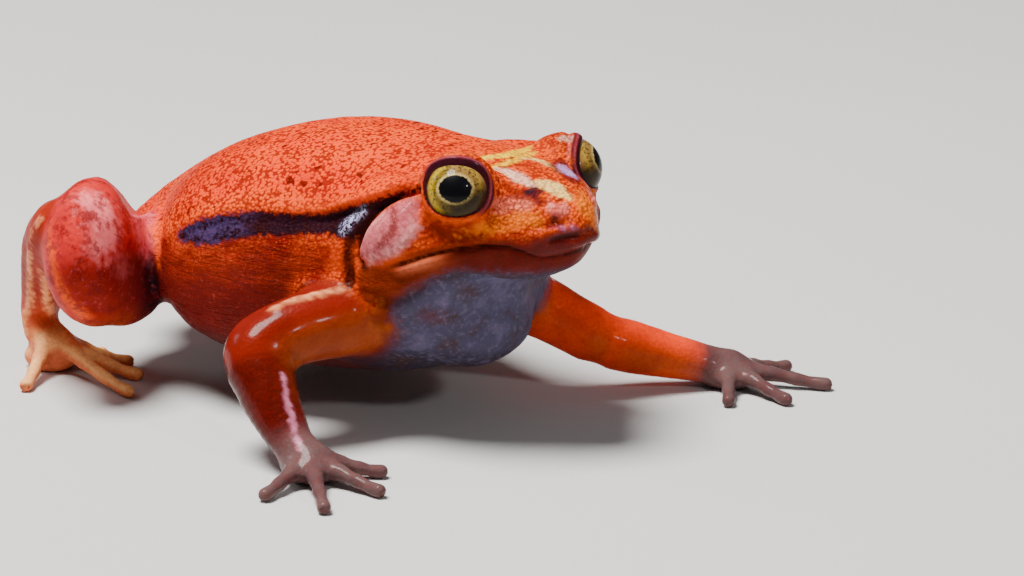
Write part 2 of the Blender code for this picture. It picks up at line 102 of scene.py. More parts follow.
# Distance from a tube whose rows are x, y, z, radius, and the direction away from it
def tubeDistance(points, rows):
    best = np.full(len(points), farAway)
    away = np.zeros_like(points)
    for start, end in zip(rows[:-1], rows[1:]):
        span = end[:3] - start[:3]
        t = np.clip((points - start[:3]) @ span / (span @ span), 0.0, 1.0)
        offset = points - (start[:3] + t[:, None] * span)
        length = np.linalg.norm(offset, axis=1) + tiny
        gap = length - (start[3] + t * (end[3] - start[3]))
        nearer = gap < best
        best[nearer] = gap[nearer]
        away[nearer] = (offset / length[:, None])[nearer]
    return best, away


def distanceTo(points, place):
    return np.linalg.norm(points - np.array(place), axis=1)


# Distance from a smooth line, or from a point where there is one row
def lineDistance(points, rows):
    if len(rows) == 1:
        return distanceTo(points, rows[0])
    return tubeDistance(points, smoothPath([(*row[:3], 0.0) for row in rows]))[0]


# Distance inside a closed outline seen from the side, negative outside it
def insideOutline(ahead, up, outline):
    table = np.array(outline, dtype=float)
    place = np.column_stack([ahead, up])
    best = np.full(len(ahead), farAway)
    inside = np.zeros(len(ahead), dtype=bool)
    for start, end in zip(table, np.roll(table, -1, axis=0)):
        span = end - start
        offset = place - start
        t = np.clip(offset @ span / (span @ span), 0.0, 1.0)
        best = np.minimum(best, np.linalg.norm(offset - t[:, None] * span, axis=1))
        crosses = (start[1] > up) != (end[1] > up)
        slope = span[0] / (span[1] if abs(span[1]) > tiny else tiny)
        inside ^= crosses & (ahead < start[0] + (up - start[1]) * slope)
    return np.where(inside, best, -best)


def noiseAt(points, size, seed):
    moved = points / size + seed
    return np.array([noise.noise(Vector(point)) for point in moved])


# The camera, at the photograph's place
photoView = {
    # millimetres for the place, the lens and the sensor, degrees for the angles, metres for what is seen
    "place": (434.2, -447.1, 206.0), "azimuth": 42.0, "elevation": 17.0,
    "lens": 153.1, "sensor": 36.0, "nearest": 0.01, "farthest": 20.0,
}


# Directions of the picture: to its right, to its top and out of it
def viewDirections(view):
    azimuth, elevation = math.radians(view["azimuth"]), math.radians(view["elevation"])
    right = np.array((math.cos(azimuth), math.sin(azimuth), 0.0))
    out = np.array((math.sin(azimuth), -math.cos(azimuth), 0.0)) * math.cos(elevation)
    out[2] = math.sin(elevation)
    return right, np.cross(out, right), out


def makeCamera(view):
    back = Vector(viewDirections(view)[2])
    data = bpy.data.cameras.new("photoCamera")
    data.sensor_width = view["sensor"]
    data.lens = view["lens"]
    data.clip_start, data.clip_end = view["nearest"], view["farthest"]
    camera = bpy.data.objects.new("photoCamera", data)
    bpy.context.scene.collection.objects.link(camera)
    camera.location = toFrame(np.array(view["place"]))
    camera.rotation_mode = "QUATERNION"
    camera.rotation_quaternion = back.to_track_quat("Z", "Y")
    bpy.context.scene.camera = camera


makeCamera(photoView)
print("camera made")


# A socket that takes part in sums, so that shader maths reads as Python
class Socket:
    def __init__(self, finish, link):
        self.finish = finish
        self.link = link

    def math(self, operation, *values):
        return self.finish.node("ShaderNodeMath", {"operation": operation}, dict(enumerate(values)))

    def __add__(self, other):
        return self.math("ADD", self, other)

    def __radd__(self, other):
        return self.math("ADD", other, self)

    def __sub__(self, other):
        return self.math("SUBTRACT", self, other)

    def __rsub__(self, other):
        return self.math("SUBTRACT", other, self)

    def __mul__(self, other):
        return self.math("MULTIPLY", self, other)

    def __rmul__(self, other):
        return self.math("MULTIPLY", other, self)

    def __truediv__(self, other):
        return self.math("DIVIDE", self, other)

    def __pow__(self, other):
        return self.math("POWER", self, other)


class Finish:
    def __init__(self, name):
        self.material = bpy.data.materials.new(name)
        self.material.use_nodes = True
        self.nodes = self.material.node_tree.nodes
        self.links = self.material.node_tree.links
        self.shader = self.nodes["Principled BSDF"]

    # One method for every other node: its type, its settings, then the values or links of its sockets
    def node(self, kind, settings=None, inputs=None, output=0):
        made = self.nodes.new(kind)
        for key, value in (settings or {}).items():
            if key == "stops":
                self.setStops(made.color_ramp, value)
            else:
                setattr(made, key, value)
        for key, value in (inputs or {}).items():
            self.feed(made.inputs[key], value)
        return Socket(self, made.outputs[output])

    def setStops(self, ramp, stops):
        while len(ramp.elements) < len(stops):
            ramp.elements.new(0.5)
        for element, (place, colour) in zip(ramp.elements, stops):
            element.position = place
            element.color = (*colour, 1.0)

    def feed(self, socket, value):
        if isinstance(value, Socket):
            self.links.new(value.link, socket)
        elif isinstance(value, tuple) and len(value) == 3 and len(socket.default_value) == 4:
            socket.default_value = (*value, 1.0)
        else:
            socket.default_value = value

    def set(self, **values):
        for key, value in values.items():
            self.feed(self.shader.inputs[key.replace("_", " ")], value)

    def attribute(self, name, output="Fac"):
        return self.node("ShaderNodeAttribute", {"attribute_name": name}, output=output)

    def millimetres(self):
        place = self.node("ShaderNodeTexCoord", output="Object")
        return self.node("ShaderNodeVectorMath", {"operation": "SCALE"}, {0: place, "Scale": 1 / mm})

    def stretched(self, place, scale):
        return self.node("ShaderNodeVectorMath", {"operation": "MULTIPLY"}, {0: place, 1: scale})

    def noise(self, place, scale, detail=2.0, roughness=0.5, distortion=0.0):
        return self.node("ShaderNodeTexNoise", None, {"Vector": place, "Scale": scale, "Detail": detail,
                                                      "Roughness": roughness, "Distortion": distortion})

    def cells(self, place, scale, feature="F1"):
        return self.node("ShaderNodeTexVoronoi", {"feature": feature}, {"Vector": place, "Scale": scale})

    def between(self, value, low, high):
        return self.node("ShaderNodeMapRange", {"interpolation_type": "SMOOTHSTEP"},
                         {"Value": value, "From Min": low, "From Max": high})

    def mix(self, share, first, second, blend="MIX"):
        settings = {"data_type": "RGBA", "blend_type": blend}
        return self.node("ShaderNodeMix", settings, {0: share, 6: first, 7: second}, output=2)

    def bump(self, height, strength, distance, under=None):
        inputs = {"Height": height, "Strength": strength, "Distance": distance * mm}
        if under is not None:
            inputs["Normal"] = under
        return self.node("ShaderNodeBump", None, inputs)


# The base of the skin: all the solids, the eyes too, fused into one surface
fleshNodes = [name for name in sorted(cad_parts) if not name.startswith("eye_")]
skinForm = {
    # size of the first faces, how far the solids are swelled, and the metres within which points merge
    "voxel": 0.8, "swell": 0.21, "joined": 1e-6,
    # rounds of flattening and of giving back, first and after the finer parts are divided
    "even": (10, 22), "evenAgain": (3, 6),
    # solids with finer faces, and the x and z past which the torso and the eyes' surroundings have them too
    "fine": ("head", "lower_jaw", "hand_", "foot_", "shank_right", "tarsus_right", "forearm_right"),
    "headFrom": 13.5, "headAbove": 21, "eyeReach": 7.6, "floorGap": 0.03,
}


def mergedNode(name, swell):
    bm = bmesh.new()
    bm.from_mesh(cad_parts[name].data)
    bmesh.ops.remove_doubles(bm, verts=bm.verts, dist=skinForm["joined"])
    bm.normal_update()
    for vert in bm.verts:
        vert.co += vert.normal * swell * mm
    return bm


def meshObject(name, mesh):
    made = bpy.data.objects.new(name, mesh)
    bpy.context.scene.collection.objects.link(made)
    return made


def fusedSkin():
    whole = bmesh.new()
    for name in fleshNodes + ["eye_right", "eye_left"]:
        piece = mergedNode(name, skinForm["swell"])
        part = bpy.data.meshes.new(name)
        piece.to_mesh(part)
        piece.free()
        whole.from_mesh(part)
        bpy.data.meshes.remove(part)
    mesh = bpy.data.meshes.new("skin")
    whole.to_mesh(mesh)
    whole.free()
    source = meshObject("skin", mesh)
    remesh = source.modifiers.new("Fuse", "REMESH")
    remesh.mode = "VOXEL"
    remesh.voxel_size = skinForm["voxel"] * mm
    depsgraph = bpy.context.evaluated_depsgraph_get()
    fused = bpy.data.meshes.new_from_object(source.evaluated_get(depsgraph))
    source.modifiers.clear()
    source.data = fused
    return source


# Drops what was left inside, such as the walls between solids
def keepLargest(mesh):
    bm = bmesh.new()
    bm.from_mesh(mesh)
    unseen = set(bm.verts)
    best = set()
    while unseen:
        front = [unseen.pop()]
        island = set(front)
        while front:
            for edge in front.pop().link_edges:
                for vert in edge.verts:
                    if vert in unseen:
                        unseen.discard(vert)
                        island.add(vert)
                        front.append(vert)
        if len(island) > len(best):
            best = island
    bmesh.ops.delete(bm, geom=[vert for vert in bm.verts if vert not in best], context="VERTS")
    bm.to_mesh(mesh)
    bm.free()


def meshPoints(mesh):
    values = np.empty(len(mesh.vertices) * 3)
    mesh.vertices.foreach_get("co", values)
    return toFrog(values.reshape(-1, 3))


def meshNormals(mesh):
    values = np.empty(len(mesh.vertices) * 3)
    mesh.vertices.foreach_get("normal", values)
    return values.reshape(-1, 3)


def setPoints(mesh, points):
    mesh.vertices.foreach_set("co", toFrame(points).ravel())
    mesh.update()


# Averages over the neighbours of each point
class Neighbours:
    def __init__(self, mesh):
        edges = np.empty(len(mesh.edges) * 2, dtype=np.int64)
        mesh.edges.foreach_get("vertices", edges)
        self.first, self.second = edges.reshape(-1, 2).T
        self.count = len(mesh.vertices)
        self.degree = np.maximum(np.bincount(edges, minlength=self.count), 1)

    def mean(self, values):
        columns = values.reshape(self.count, -1)
        result = np.empty_like(columns, dtype=float)
        for index in range(columns.shape[1]):
            column = columns[:, index]
            total = np.bincount(self.first, column[self.second], self.count)
            total += np.bincount(self.second, column[self.first], self.count)
            result[:, index] = total / self.degree
        return result.reshape(values.shape)

    def smooth(self, values, times):
        for _ in range(times):
            values = values + (self.mean(values) - values) * 0.5
        return values


# Takes the facets off without thinning the limbs: what smoothing shrinks is given back, itself smoothed
def evenOut(mesh, flatten, restore):
    around = Neighbours(mesh)
    points = meshPoints(mesh)
    normals = meshNormals(mesh)
    flat = around.smooth(points, flatten)
    lost = around.smooth(np.einsum("ij,ij->i", points - flat, normals), restore)
    setPoints(mesh, flat + normals * lost[:, None])


# Divides the edges between chosen points
def refine(mesh, chosen):
    bm = bmesh.new()
    bm.from_mesh(mesh)
    bm.verts.ensure_lookup_table()
    edges = [edge for edge in bm.edges if all(chosen[vert.index] for vert in edge.verts)]
    bmesh.ops.subdivide_edges(bm, edges=edges, cuts=1, use_grid_fill=True)
    bmesh.ops.triangulate(bm, faces=[face for face in bm.faces if len(face.verts) > 4])
    bm.to_mesh(mesh)
    bm.free()


# Which solid each point of the skin lies nearest to
class SolidMap:
    def __init__(self):
        self.names = fleshNodes
        points, faces, self.owner = [], [], []
        for index, name in enumerate(self.names):
            bm = mergedNode(name, 0.0)
            start = len(points)
            points += [vert.co.copy() for vert in bm.verts]
            faces += [tuple(start + vert.index for vert in face.verts) for face in bm.faces]
            self.owner += [index] * len(bm.faces)
            bm.free()
        self.tree = BVHTree.FromPolygons(points, faces)

    def read(self, mesh):
        faces = [self.tree.find_nearest(vert.co)[2] for vert in mesh.vertices]
        self.nearest = np.array(self.owner)[faces]

    def among(self, *starts):
        wanted = [index for index, name in enumerate(self.names) if name.startswith(starts)]
        return np.isin(self.nearest, wanted)


# Limbs and digits, as the solids have them, but round.
# A limb's rows are x, y, z and radius. A hand or foot has the place of its middle, the direction and length
# of each digit, and how high the digits arch at their roots.
limbs = {
    "right": {
        "arm": [
            (16.0, -11.0, 17.6, 6.2), (14.8, -18.0, 18.0, 5.5), (12.4, -25.0, 17.4, 5.0),
            (10.4, -30.6, 15.0, 5.0), (13.2, -32.2, 11.4, 4.5), (17.0, -33.4, 7.6, 3.7),
            (20.8, -34.2, 4.6, 2.9), (24.0, -34.2, 3.0, 2.6),
        ],
        "leg": [
            (-21.5, -32.0, 26.5, 4.2), (-28.5, -31.5, 26.0, 4.9), (-35.2, -28.0, 21.5, 4.9),
            (-39.8, -25.6, 15.8, 4.0), (-43.0, -24.0, 10.9, 3.2), (-43.6, -24.1, 8.2, 2.8),
            (-42.6, -24.3, 5.6, 2.5), (-40.5, -24.6, 3.6, 2.2),
        ],
        "hand": ((24.0, -34.2), [(44.0, 10.6), (4.0, 13.4), (-38.0, 15.6), (-80.0, 11.6)], 0.0),
        "foot": ((-41.2, -24.4), [(70.0, 9.0), (42.0, 12.5), (17.0, 16.0), (-6.0, 20.5), (-60.0, 12.5)], 2.6),
    },
    "left": {
        "arm": [
            (15.5, 9.5, 18.0, 6.2), (19.5, 13.4, 15.6, 5.4), (24.0, 17.2, 12.8, 4.5),
            (29.0, 22.6, 8.6, 4.2), (33.0, 28.0, 6.3, 3.8), (36.6, 32.6, 4.6, 3.2), (39.6, 36.4, 3.4, 2.7),
            (41.0, 38.2, 3.0, 2.5),
        ],
        "leg": [
            (-18.0, 34.0, 24.5, 4.2), (-24.5, 35.0, 23.8, 4.9), (-32.5, 31.2, 18.8, 4.9),
            (-38.6, 26.8, 12.8, 4.0), (-42.0, 24.0, 8.2, 3.2), (-39.6, 26.2, 5.8, 2.8),
            (-35.0, 29.6, 3.9, 2.5), (-31.0, 32.4, 3.0, 2.2),
        ],
        "hand": ((41.0, 38.2), [(-50.0, 11.0), (-8.0, 13.4), (32.0, 15.6), (76.0, 11.6)], 0.0),
        "foot": ((-31.6, 32.0), [(-30.0, 11.0), (-6.0, 16.0), (14.0, 23.0), (34.0, 31.0), (60.0, 21.0)], 0.4),
    },
}
limbForm = {
    "chains": {
        "arm": ("hand", ("upper_arm_", "forearm_", "hand_")),
        "leg": ("foot", ("shank_", "tarsus_", "foot_")),
    },
    # the skin stays as it is this near to the shoulder or hip, and follows the limb past the blend
    "rootReach": {"arm": 9.0, "leg": 7.0}, "rootBlend": 5.0,
    "repeats": 5, "step": 0.8, "detail": 4,
}
digitForm = {
    # share of the length, height of the middle, radius: knuckles are a little thicker than the bones between
    "rows": [
        (0.0, 2.1, 1.6), (0.16, 2.4, 1.3), (0.3, 2.35, 1.06), (0.42, 2.15, 1.14), (0.54, 1.85, 0.92),
        (0.66, 1.55, 1.02), (0.78, 1.25, 0.84), (0.88, 1.05, 0.98), (0.95, 1.0, 1.0), (0.995, 0.85, 0.6),
    ],
    # softness of the joins and the distances they are worked out for
    "blend": 0.55, "within": (-6.0, 12.0),
    # half sizes of the palm and the sole, and how far the middle lies below its own height
    "palm": {"hand": (4.2, 3.8, 2.3), "foot": (4.4, 3.4, 2.1)}, "palmDrop": 0.3,
}


def digitPath(middle, degrees, length, arch):
    angle = math.radians(degrees)
    rows = []
    for share, height, radius in digitForm["rows"]:
        reach = length * share
        rows.append((middle[0] + math.cos(angle) * reach, middle[1] + math.sin(angle) * reach,
                     height + arch * (1 - share) ** 2, radius))
    return np.array(rows)


def limbPieces(side, limb, end):
    form = limbs[side]
    middle, spread, arch = form[end]
    paths = [smoothPath(form[limb], limbForm["detail"])]
    paths += [digitPath(middle, degrees, length, arch) for degrees, length in spread]
    return paths, middle


# Signed distance from a limb with its palm and digits, softly joined, and the direction away from it
def limbDistance(points, paths, middle, palm):
    gaps = [tubeDistance(points, path) for path in paths]
    size = np.array(palm)
    scaled = (points - np.array((*middle, palm[2] - digitForm["palmDrop"]))) / size
    length = np.linalg.norm(scaled, axis=1) + tiny
    away = scaled / size
    away /= np.linalg.norm(away, axis=1)[:, None] + tiny
    gaps.append(((length - 1) * min(palm), away))
    total = np.zeros(len(points))
    lean = np.zeros_like(points)
    for gap, away in gaps:
        share = np.exp(-np.clip(gap, *digitForm["within"]) / digitForm["blend"])
        total += share
        lean += away * share[:, None]
    lean /= np.linalg.norm(lean, axis=1)[:, None] + tiny
    return -digitForm["blend"] * np.log(total), lean


def roundLimbs(points):
    for side in limbs:
        for limb, (end, starts) in limbForm["chains"].items():
            chosen = solids.among(*[start + side for start in starts])
            paths, middle = limbPieces(side, limb, end)
            own = points[chosen]
            root = np.array(limbs[side][limb][0][:3])
            reach = limbForm["rootReach"][limb]
            weight = fade(distanceTo(own, root), reach, reach + limbForm["rootBlend"])
            for _ in range(limbForm["repeats"]):
                gap, away = limbDistance(own, paths, middle, digitForm["palm"][end])
                step = np.clip(gap, -limbForm["step"], limbForm["step"]) * weight
                own = own - away * step[:, None]
            points[chosen] = own
    return points


def triangles(mesh):
    return sum(len(face.vertices) - 2 for face in mesh.polygons)


skin = fusedSkin()
keepLargest(skin.data)
solids = SolidMap()
evenOut(skin.data, *skinForm["even"])
print("skin fused", triangles(skin.data))

solids.read(skin.data)
points = meshPoints(skin.data)
nearHead = (points[:, 0] > skinForm["headFrom"]) & (points[:, 2] > skinForm["headAbove"])
refine(skin.data, solids.among(*skinForm["fine"]) | solids.among("torso") & nearHead)
points = meshPoints(skin.data)
closeToEye = np.zeros(len(points), dtype=bool)
for eye in eyes.values():
    closeToEye |= distanceTo(points, eye["centre"]) < skinForm["eyeReach"]
refine(skin.data, closeToEye)
evenOut(skin.data, *skinForm["evenAgain"])
solids.read(skin.data)
setPoints(skin.data, roundLimbs(meshPoints(skin.data)))
print("skin refined", triangles(skin.data))


# Forms of the head, given for the right side and mirrored to the left
headForm = {
    # heights of the mouth's line, the jaw's edge and the line over which a groove follows the disc, by x
    "mouth": [
        (24.0, 27.9), (27.0, 28.9), (30.2, 30.3), (33.5, 31.4), (36.5, 32.0), (39.5, 32.0), (41.2, 31.3),
        (42.5, 30.3), (44.0, 30.0), (45.4, 30.7), (46.6, 31.5), (48.0, 31.8),
    ],
    "jawEdge": [
        (18.0, 23.6), (20.1, 22.6), (23.7, 22.9), (26.2, 24.0), (30.2, 27.0), (32.6, 28.0), (36.0, 28.2),
        (42.0, 27.2), (48.0, 27.2),
    ],
    "grooveFrom": [(17.0, 22.0), (19.0, 26.4), (25.0, 30.4), (28.5, 36.5)],
    # the cheek disc's outline in x and z, how far it stands out, and the groove round it: height, place
    # inside the outline and half width
    "cheek": [
        (26.7, 38.3), (25.0, 37.7), (23.7, 36.8), (22.2, 35.4), (20.9, 33.9), (20.0, 32.5), (19.0, 30.7),
        (18.4, 29.2), (18.7, 28.0), (20.2, 27.7), (22.6, 28.2), (25.4, 29.4), (27.7, 31.3), (28.7, 32.9),
        (28.8, 34.4), (28.2, 35.8), (27.6, 37.3),
    ],
    "cheekSwell": 0.75, "cheekGroove": (-1.25, -0.85, 0.75),
    # height, place over the mouth's line and half width of the fold and the lips
    "fold": (-0.62, 0.0, 0.3), "upperLip": (0.3, 1.0, 0.7), "lowerLip": (0.32, -0.95, 0.62),
    "rearLip": (0.25, -0.95, 0.62), "underLip": (-0.25, -2.3, 0.8),
    # the same over the jaw's edge, for the groove below it and the swelling above it
    "jawGroove": (-0.75, -0.7, 0.8), "jawSwell": (0.35, 1.2, 1.1),
    # how far the throat is set back, and how far the front of the chin is lowered
    "throatSetBack": 1.4, "farSetBack": 0.7, "chinDrop": 1.9,
    # the fold behind the eye, over the edge between back and flank
    "eyeFold": (0.55, 0.8, 0.85), "eyeFoldGroove": (-0.75, -0.65, 0.75),
    # height of the pebbles between the eyes and on the brows
    "pebbles": 0.07,
}
# Ridges and hollows: height, half width, the side they are on, and the line or point they follow
headRelief = {
    "drum": (-0.16, 0.35, "both", [
        (24.2, -17.4, 36.5), (25.3, -17.9, 35.3), (25.8, -18.6, 33.8), (25.2, -19.1, 32.6),
        (23.6, -19.3, 31.1),
    ]),
    # the next relief is a low ridge along the line of the cheek's painted highlight
    "cheekShine": (0.22, 1.1, "both", [
        (28.2, -17.0, 34.4), (27.0, -18.5, 31.8), (24.9, -19.3, 30.1), (21.2, -19.0, 28.5),
    ]),
    "jawLobe": (0.55, 3.2, "both", [(22.6, -17.6, 25.8)]),
    "shoulderGroove": (-0.95, 0.8, "both", [
        (16.2, -17.7, 30.5), (16.4, -18.2, 28.1), (16.7, -18.3, 25.9), (16.9, -18.2, 23.5),
    ]),
    "nostrilSwell": (0.5, 1.15, "both", [(44.1, -4.3, 37.0)]),
    "nostril": (-0.85, 0.48, "both", [(44.0, -4.8, 35.7)]),
    "underNostril": (-0.28, 0.5, "both", [(42.0, -7.2, 34.8), (43.6, -5.4, 34.9), (44.8, -4.0, 35.1)]),
    "noseRidge": (0.3, 0.55, "right", [
        (43.0, -6.4, 34.0), (43.8, -5.4, 34.0), (44.7, -4.3, 34.3), (45.6, -2.8, 34.6), (46.0, -1.6, 34.3),
    ]),
    "noseHollow": (-0.36, 0.6, "right", [
        (44.0, -5.6, 33.0), (44.6, -4.7, 33.2), (45.3, -3.6, 33.4), (45.9, -2.4, 33.4),
    ]),
    "lipCorner": (0.8, 2.6, "right", [(42.4, -6.6, 32.2)]),
    "leftNose": (-0.9, 4.0, "left", [(44.2, 6.6, 34.0)]),
}
lidForm = {
    # distances from the eye's centre: of the sunk edge and the rim, and where the lids fade into the head
    "sunk": 4.0, "rim": 5.1, "reach": (8.6, 7.0),
    # degrees from the gaze to the edge of the opening
    "edge": {"above": 47.0, "front": 65.0, "below": 54.0, "behind": 72.0},
    # the upper lid and the front corner, by how far up and how far ahead
    "upper": (-0.15, 0.75), "cornerAhead": (0.55, 0.95), "cornerHigh": (0.75, 0.1),
    # depth, degrees past the edge and half width of the creases above and below
    "upperCrease": (0.32, 24.0, 5.0), "lowerCrease": (0.25, 17.0, 4.0), "cornerDip": 0.3,
}


def mirroredToRight(points):
    return np.column_stack([points[:, 0], -np.abs(points[:, 1]), points[:, 2]])


# A ridge or groove of a given height, place and half width, across a measured distance
def band(distance, form):
    height, place, width = form
    return height * ridge(distance - place, width)


def reliefRows(name):
    return headRelief[name][-1]


def eyeFrame(eye):
    gaze = np.array(eye["gaze"])
    gaze /= np.linalg.norm(gaze)
    up = np.array((0.0, 0.0, 1.0)) - gaze * gaze[2]
    up /= np.linalg.norm(up)
    ahead = np.cross(up, gaze) * -eye["side"]
    return gaze, up, ahead


# Where points lie round an eye: offset, distance, degrees past the lid's edge, and shares upwards and ahead
def aroundEye(points, eye):
    gaze, up, ahead = eyeFrame(eye)
    offset = points - np.array(eye["centre"])
    length = np.linalg.norm(offset, axis=1)
    degrees = np.degrees(np.arccos(np.clip(offset @ gaze / length, -1, 1)))
    high, forward = offset @ up, offset @ ahead
    reach = np.hypot(high, forward) + tiny
    high, forward = high / reach, forward / reach
    edge = lidForm["edge"]
    vertical = np.where(high > 0, edge["above"], edge["below"])
    level = np.where(forward > 0, edge["front"], edge["behind"])
    return offset, length, degrees - vertical * high ** 2 - level * forward ** 2, high, forward


def shapeLids(points):
    for eye in eyes.values():
        offset, length, past, high, forward = aroundEye(points, eye)
        near = fade(length, *lidForm["reach"])
        upper = fade(high, *lidForm["upper"])
        corner = fade(forward, *lidForm["cornerAhead"]) * fade(high, *lidForm["cornerHigh"])
        rim = lidForm["rim"] + eye["swell"] * upper * fade(past, 1.0, 9.0)
        rim -= lidForm["cornerDip"] * corner * fade(past, 14.0, 6.0)
        blend = fade(past, 16.0 + 12.0 * upper + 8.0 * corner, 3.0 + 5.0 * upper)
        wanted = length * (1 - blend) + rim * blend
        wanted = lidForm["sunk"] + (wanted - lidForm["sunk"]) * fade(past, -7.0, 3.0)
        crease = band(past, lidForm["upperCrease"]) * upper
        crease += band(past, lidForm["lowerCrease"]) * fade(high, -0.2, -0.8)
        lift = (wanted - crease - length) * near
        points = points + offset / length[:, None] * lift[:, None]
    return points


# Distance inside the cheek disc's edge
def inCheek(side):
    return insideOutline(side[:, 0], side[:, 2], headForm["cheek"]) - 30 * fade(-side[:, 1], 11.0, 9.0)


def cheekHeights(side, outside):
    x, _, z = side.T
    inside = inCheek(side)
    heights = headForm["cheekSwell"] * fade(inside, -0.2, 2.4)
    behind = fade(z - along(x, headForm["grooveFrom"]), 0.0, 1.4)
    heights += band(inside, headForm["cheekGroove"]) * behind * outside * fade(x, 15.5, 17.5)
    over = z - along(x, bodyForm["edge"])
    fold = band(over, headForm["eyeFold"]) + band(over, headForm["eyeFoldGroove"])
    heights += fade(x, 5.0, 16.0) * fade(x, 30.0, 27.5) * outside * fold * fade(inside, 0.2, -0.4)
    return heights


def mouthHeights(x, above, head):
    inMouth = fade(x, 24.0, 26.5) * head
    front = fade(x, 37.0, 40.0) * fade(x, 44.0, 41.0)
    heights = band(above, headForm["fold"]) * (1 - 0.5 * front) + band(above, headForm["upperLip"])
    heights += band(above, headForm["lowerLip"]) + band(above, headForm["rearLip"]) * fade(x, 37.0, 29.0)
    return (heights + band(above, headForm["underLip"])) * inMouth


# The throat is set back under the edge of the jaw, and the lower lip is full in front
def jawHeights(points, side, outside):
    x, _, z = side.T
    under = z - along(x, headForm["jawEdge"])
    jaw = solids.among("lower_jaw", "torso") * fade(x, 18.0, 20.0)
    setBack = headForm["throatSetBack"] * (1 + headForm["farSetBack"] * fade(points[:, 1], 0.0, 8.0))
    heights = -setBack * fade(x, 24.0, 31.0) * fade(z, 12.0, 19.0) * fade(under, 0.0, -1.6)
    heights += band(under, headForm["jawGroove"]) * outside * fade(x, 33.0, 29.0)
    return jaw * (heights + band(under, headForm["jawSwell"]) * fade(x, 40.0, 34.0))


def reliefHeights(points, side):
    right = fade(points[:, 1], 1.0, -1.5)
    heights = np.zeros(len(points))
    for height, width, where, rows in headRelief.values():
        distance = lineDistance(points if where == "left" else side, rows)
        heights += height * ridge(distance, width) * (right if where == "right" else 1.0)
    return heights


def shapeHead(points, normals):
    side = mirroredToRight(points)
    x, y, z = side.T
    head = solids.among("head", "lower_jaw").astype(float)
    outside = fade(-y, 9.5, 12.0)
    above = z - along(x, headForm["mouth"])
    heights = mouthHeights(x, above, head) + cheekHeights(side, outside)
    heights += reliefHeights(points, side) + jawHeights(points, side, outside)
    pebbles = noiseAt(points, 0.9, 4.0) + 0.6 * noiseAt(points, 0.5, 8.0)
    heights += headForm["pebbles"] * pebbles * fade(normals[:, 2], 0.1, 0.6) * head
    chin = fade(above, -0.7, -2.4) * fade(x, 33.0, 39.5) * fade(z, 19.0, 26.0) * solids.among("lower_jaw")
    lowered = points.copy()
    lowered[:, 2] -= headForm["chinDrop"] * chin
    return lowered + normals * heights[:, None]


# Forms of the body and legs
bodyForm = {
    # height of the edge between back and flank, and of the stripe's lower edge, by x
    "edge": [
        (-45.0, 19.0), (-20.0, 24.0), (-14.0, 26.8), (-9.9, 29.2), (-4.5, 31.0), (0.5, 32.1), (7.2, 32.5),
        (11.8, 33.2), (15.0, 34.6), (19.9, 36.6), (23.7, 38.2), (26.6, 39.4), (29.7, 40.5),
    ],
    "stripeLow": [
        (-14.0, 25.6), (-12.2, 25.2), (-6.7, 26.1), (-3.2, 27.4), (1.7, 28.7), (7.8, 29.6), (12.7, 30.4),
        (15.0, 30.3), (18.0, 30.6), (20.0, 32.5), (22.2, 35.0), (23.7, 36.4), (26.0, 37.8), (29.7, 39.7),
    ],
    # the raised edge and the groove under it
    "rim": (0.42, 0.7, 0.95), "groove": (-0.35, -1.2, 1.3),
    # heights of the wrinkles on the flank, the unevenness of the back and that of the limbs
    "wrinkles": 0.17, "uneven": 0.09, "limbUneven": 0.1,
}
thighForm = {
    # outline of the right leg and rump in the picture, to its right and up, and what is kept clear of it
    "outline": [
        (-60.0, 60.0), (-44.0, 45.0), (-41.0, 34.5), (-40.0, 33.0), (-38.5, 32.3), (-37.0, 31.5),
        (-35.2, 30.0), (-34.0, 27.9), (-33.4, 26.2), (-32.8, 25.4), (-32.2, 25.6), (-31.1, 26.8),
        (-30.0, 28.0), (-28.9, 29.1), (-27.0, 31.0), (-22.0, 60.0),
    ],
    "clear": 0.25,
    # how far the root of the thigh is set back, and the smoothing of what was moved
    "setBack": 3.4, "repeats": 7, "strength": 0.7,
}
# Raised folds and tendons: the line, its height and its half width
limbFolds = [
    ([
        (11.8, -28.9, 21.3), (12.6, -26.3, 22.1), (14.1, -23.7, 22.5), (15.5, -21.0, 22.8),
        (17.3, -18.1, 23.1),
    ], 0.3, 0.6),
    ([
        (-29.7, -35.6, 27.9), (-34.2, -33.8, 21.9), (-38.2, -31.2, 16.6), (-41.1, -28.1, 12.0),
        (-43.9, -27.0, 8.0), (-43.7, -26.7, 5.4),
    ], 0.35, 0.8),
    ([
        (-33.4, -32.6, 22.6), (-35.1, -30.3, 16.7), (-39.3, -26.2, 10.8), (-39.8, -23.4, 7.0),
        (-35.1, -23.9, 4.6),
    ], 0.35, 0.8),
]


# The part of the right thigh that is in shadow behind the flank, as the picture shows it
def legShadow(points):
    right, up, _ = viewDirections(photoView)
    across, height = points @ right, points @ up
    return solids.among("thigh_right") * fade(across, -32.4, -30.4) * fade(height, 20.5, 18.0)


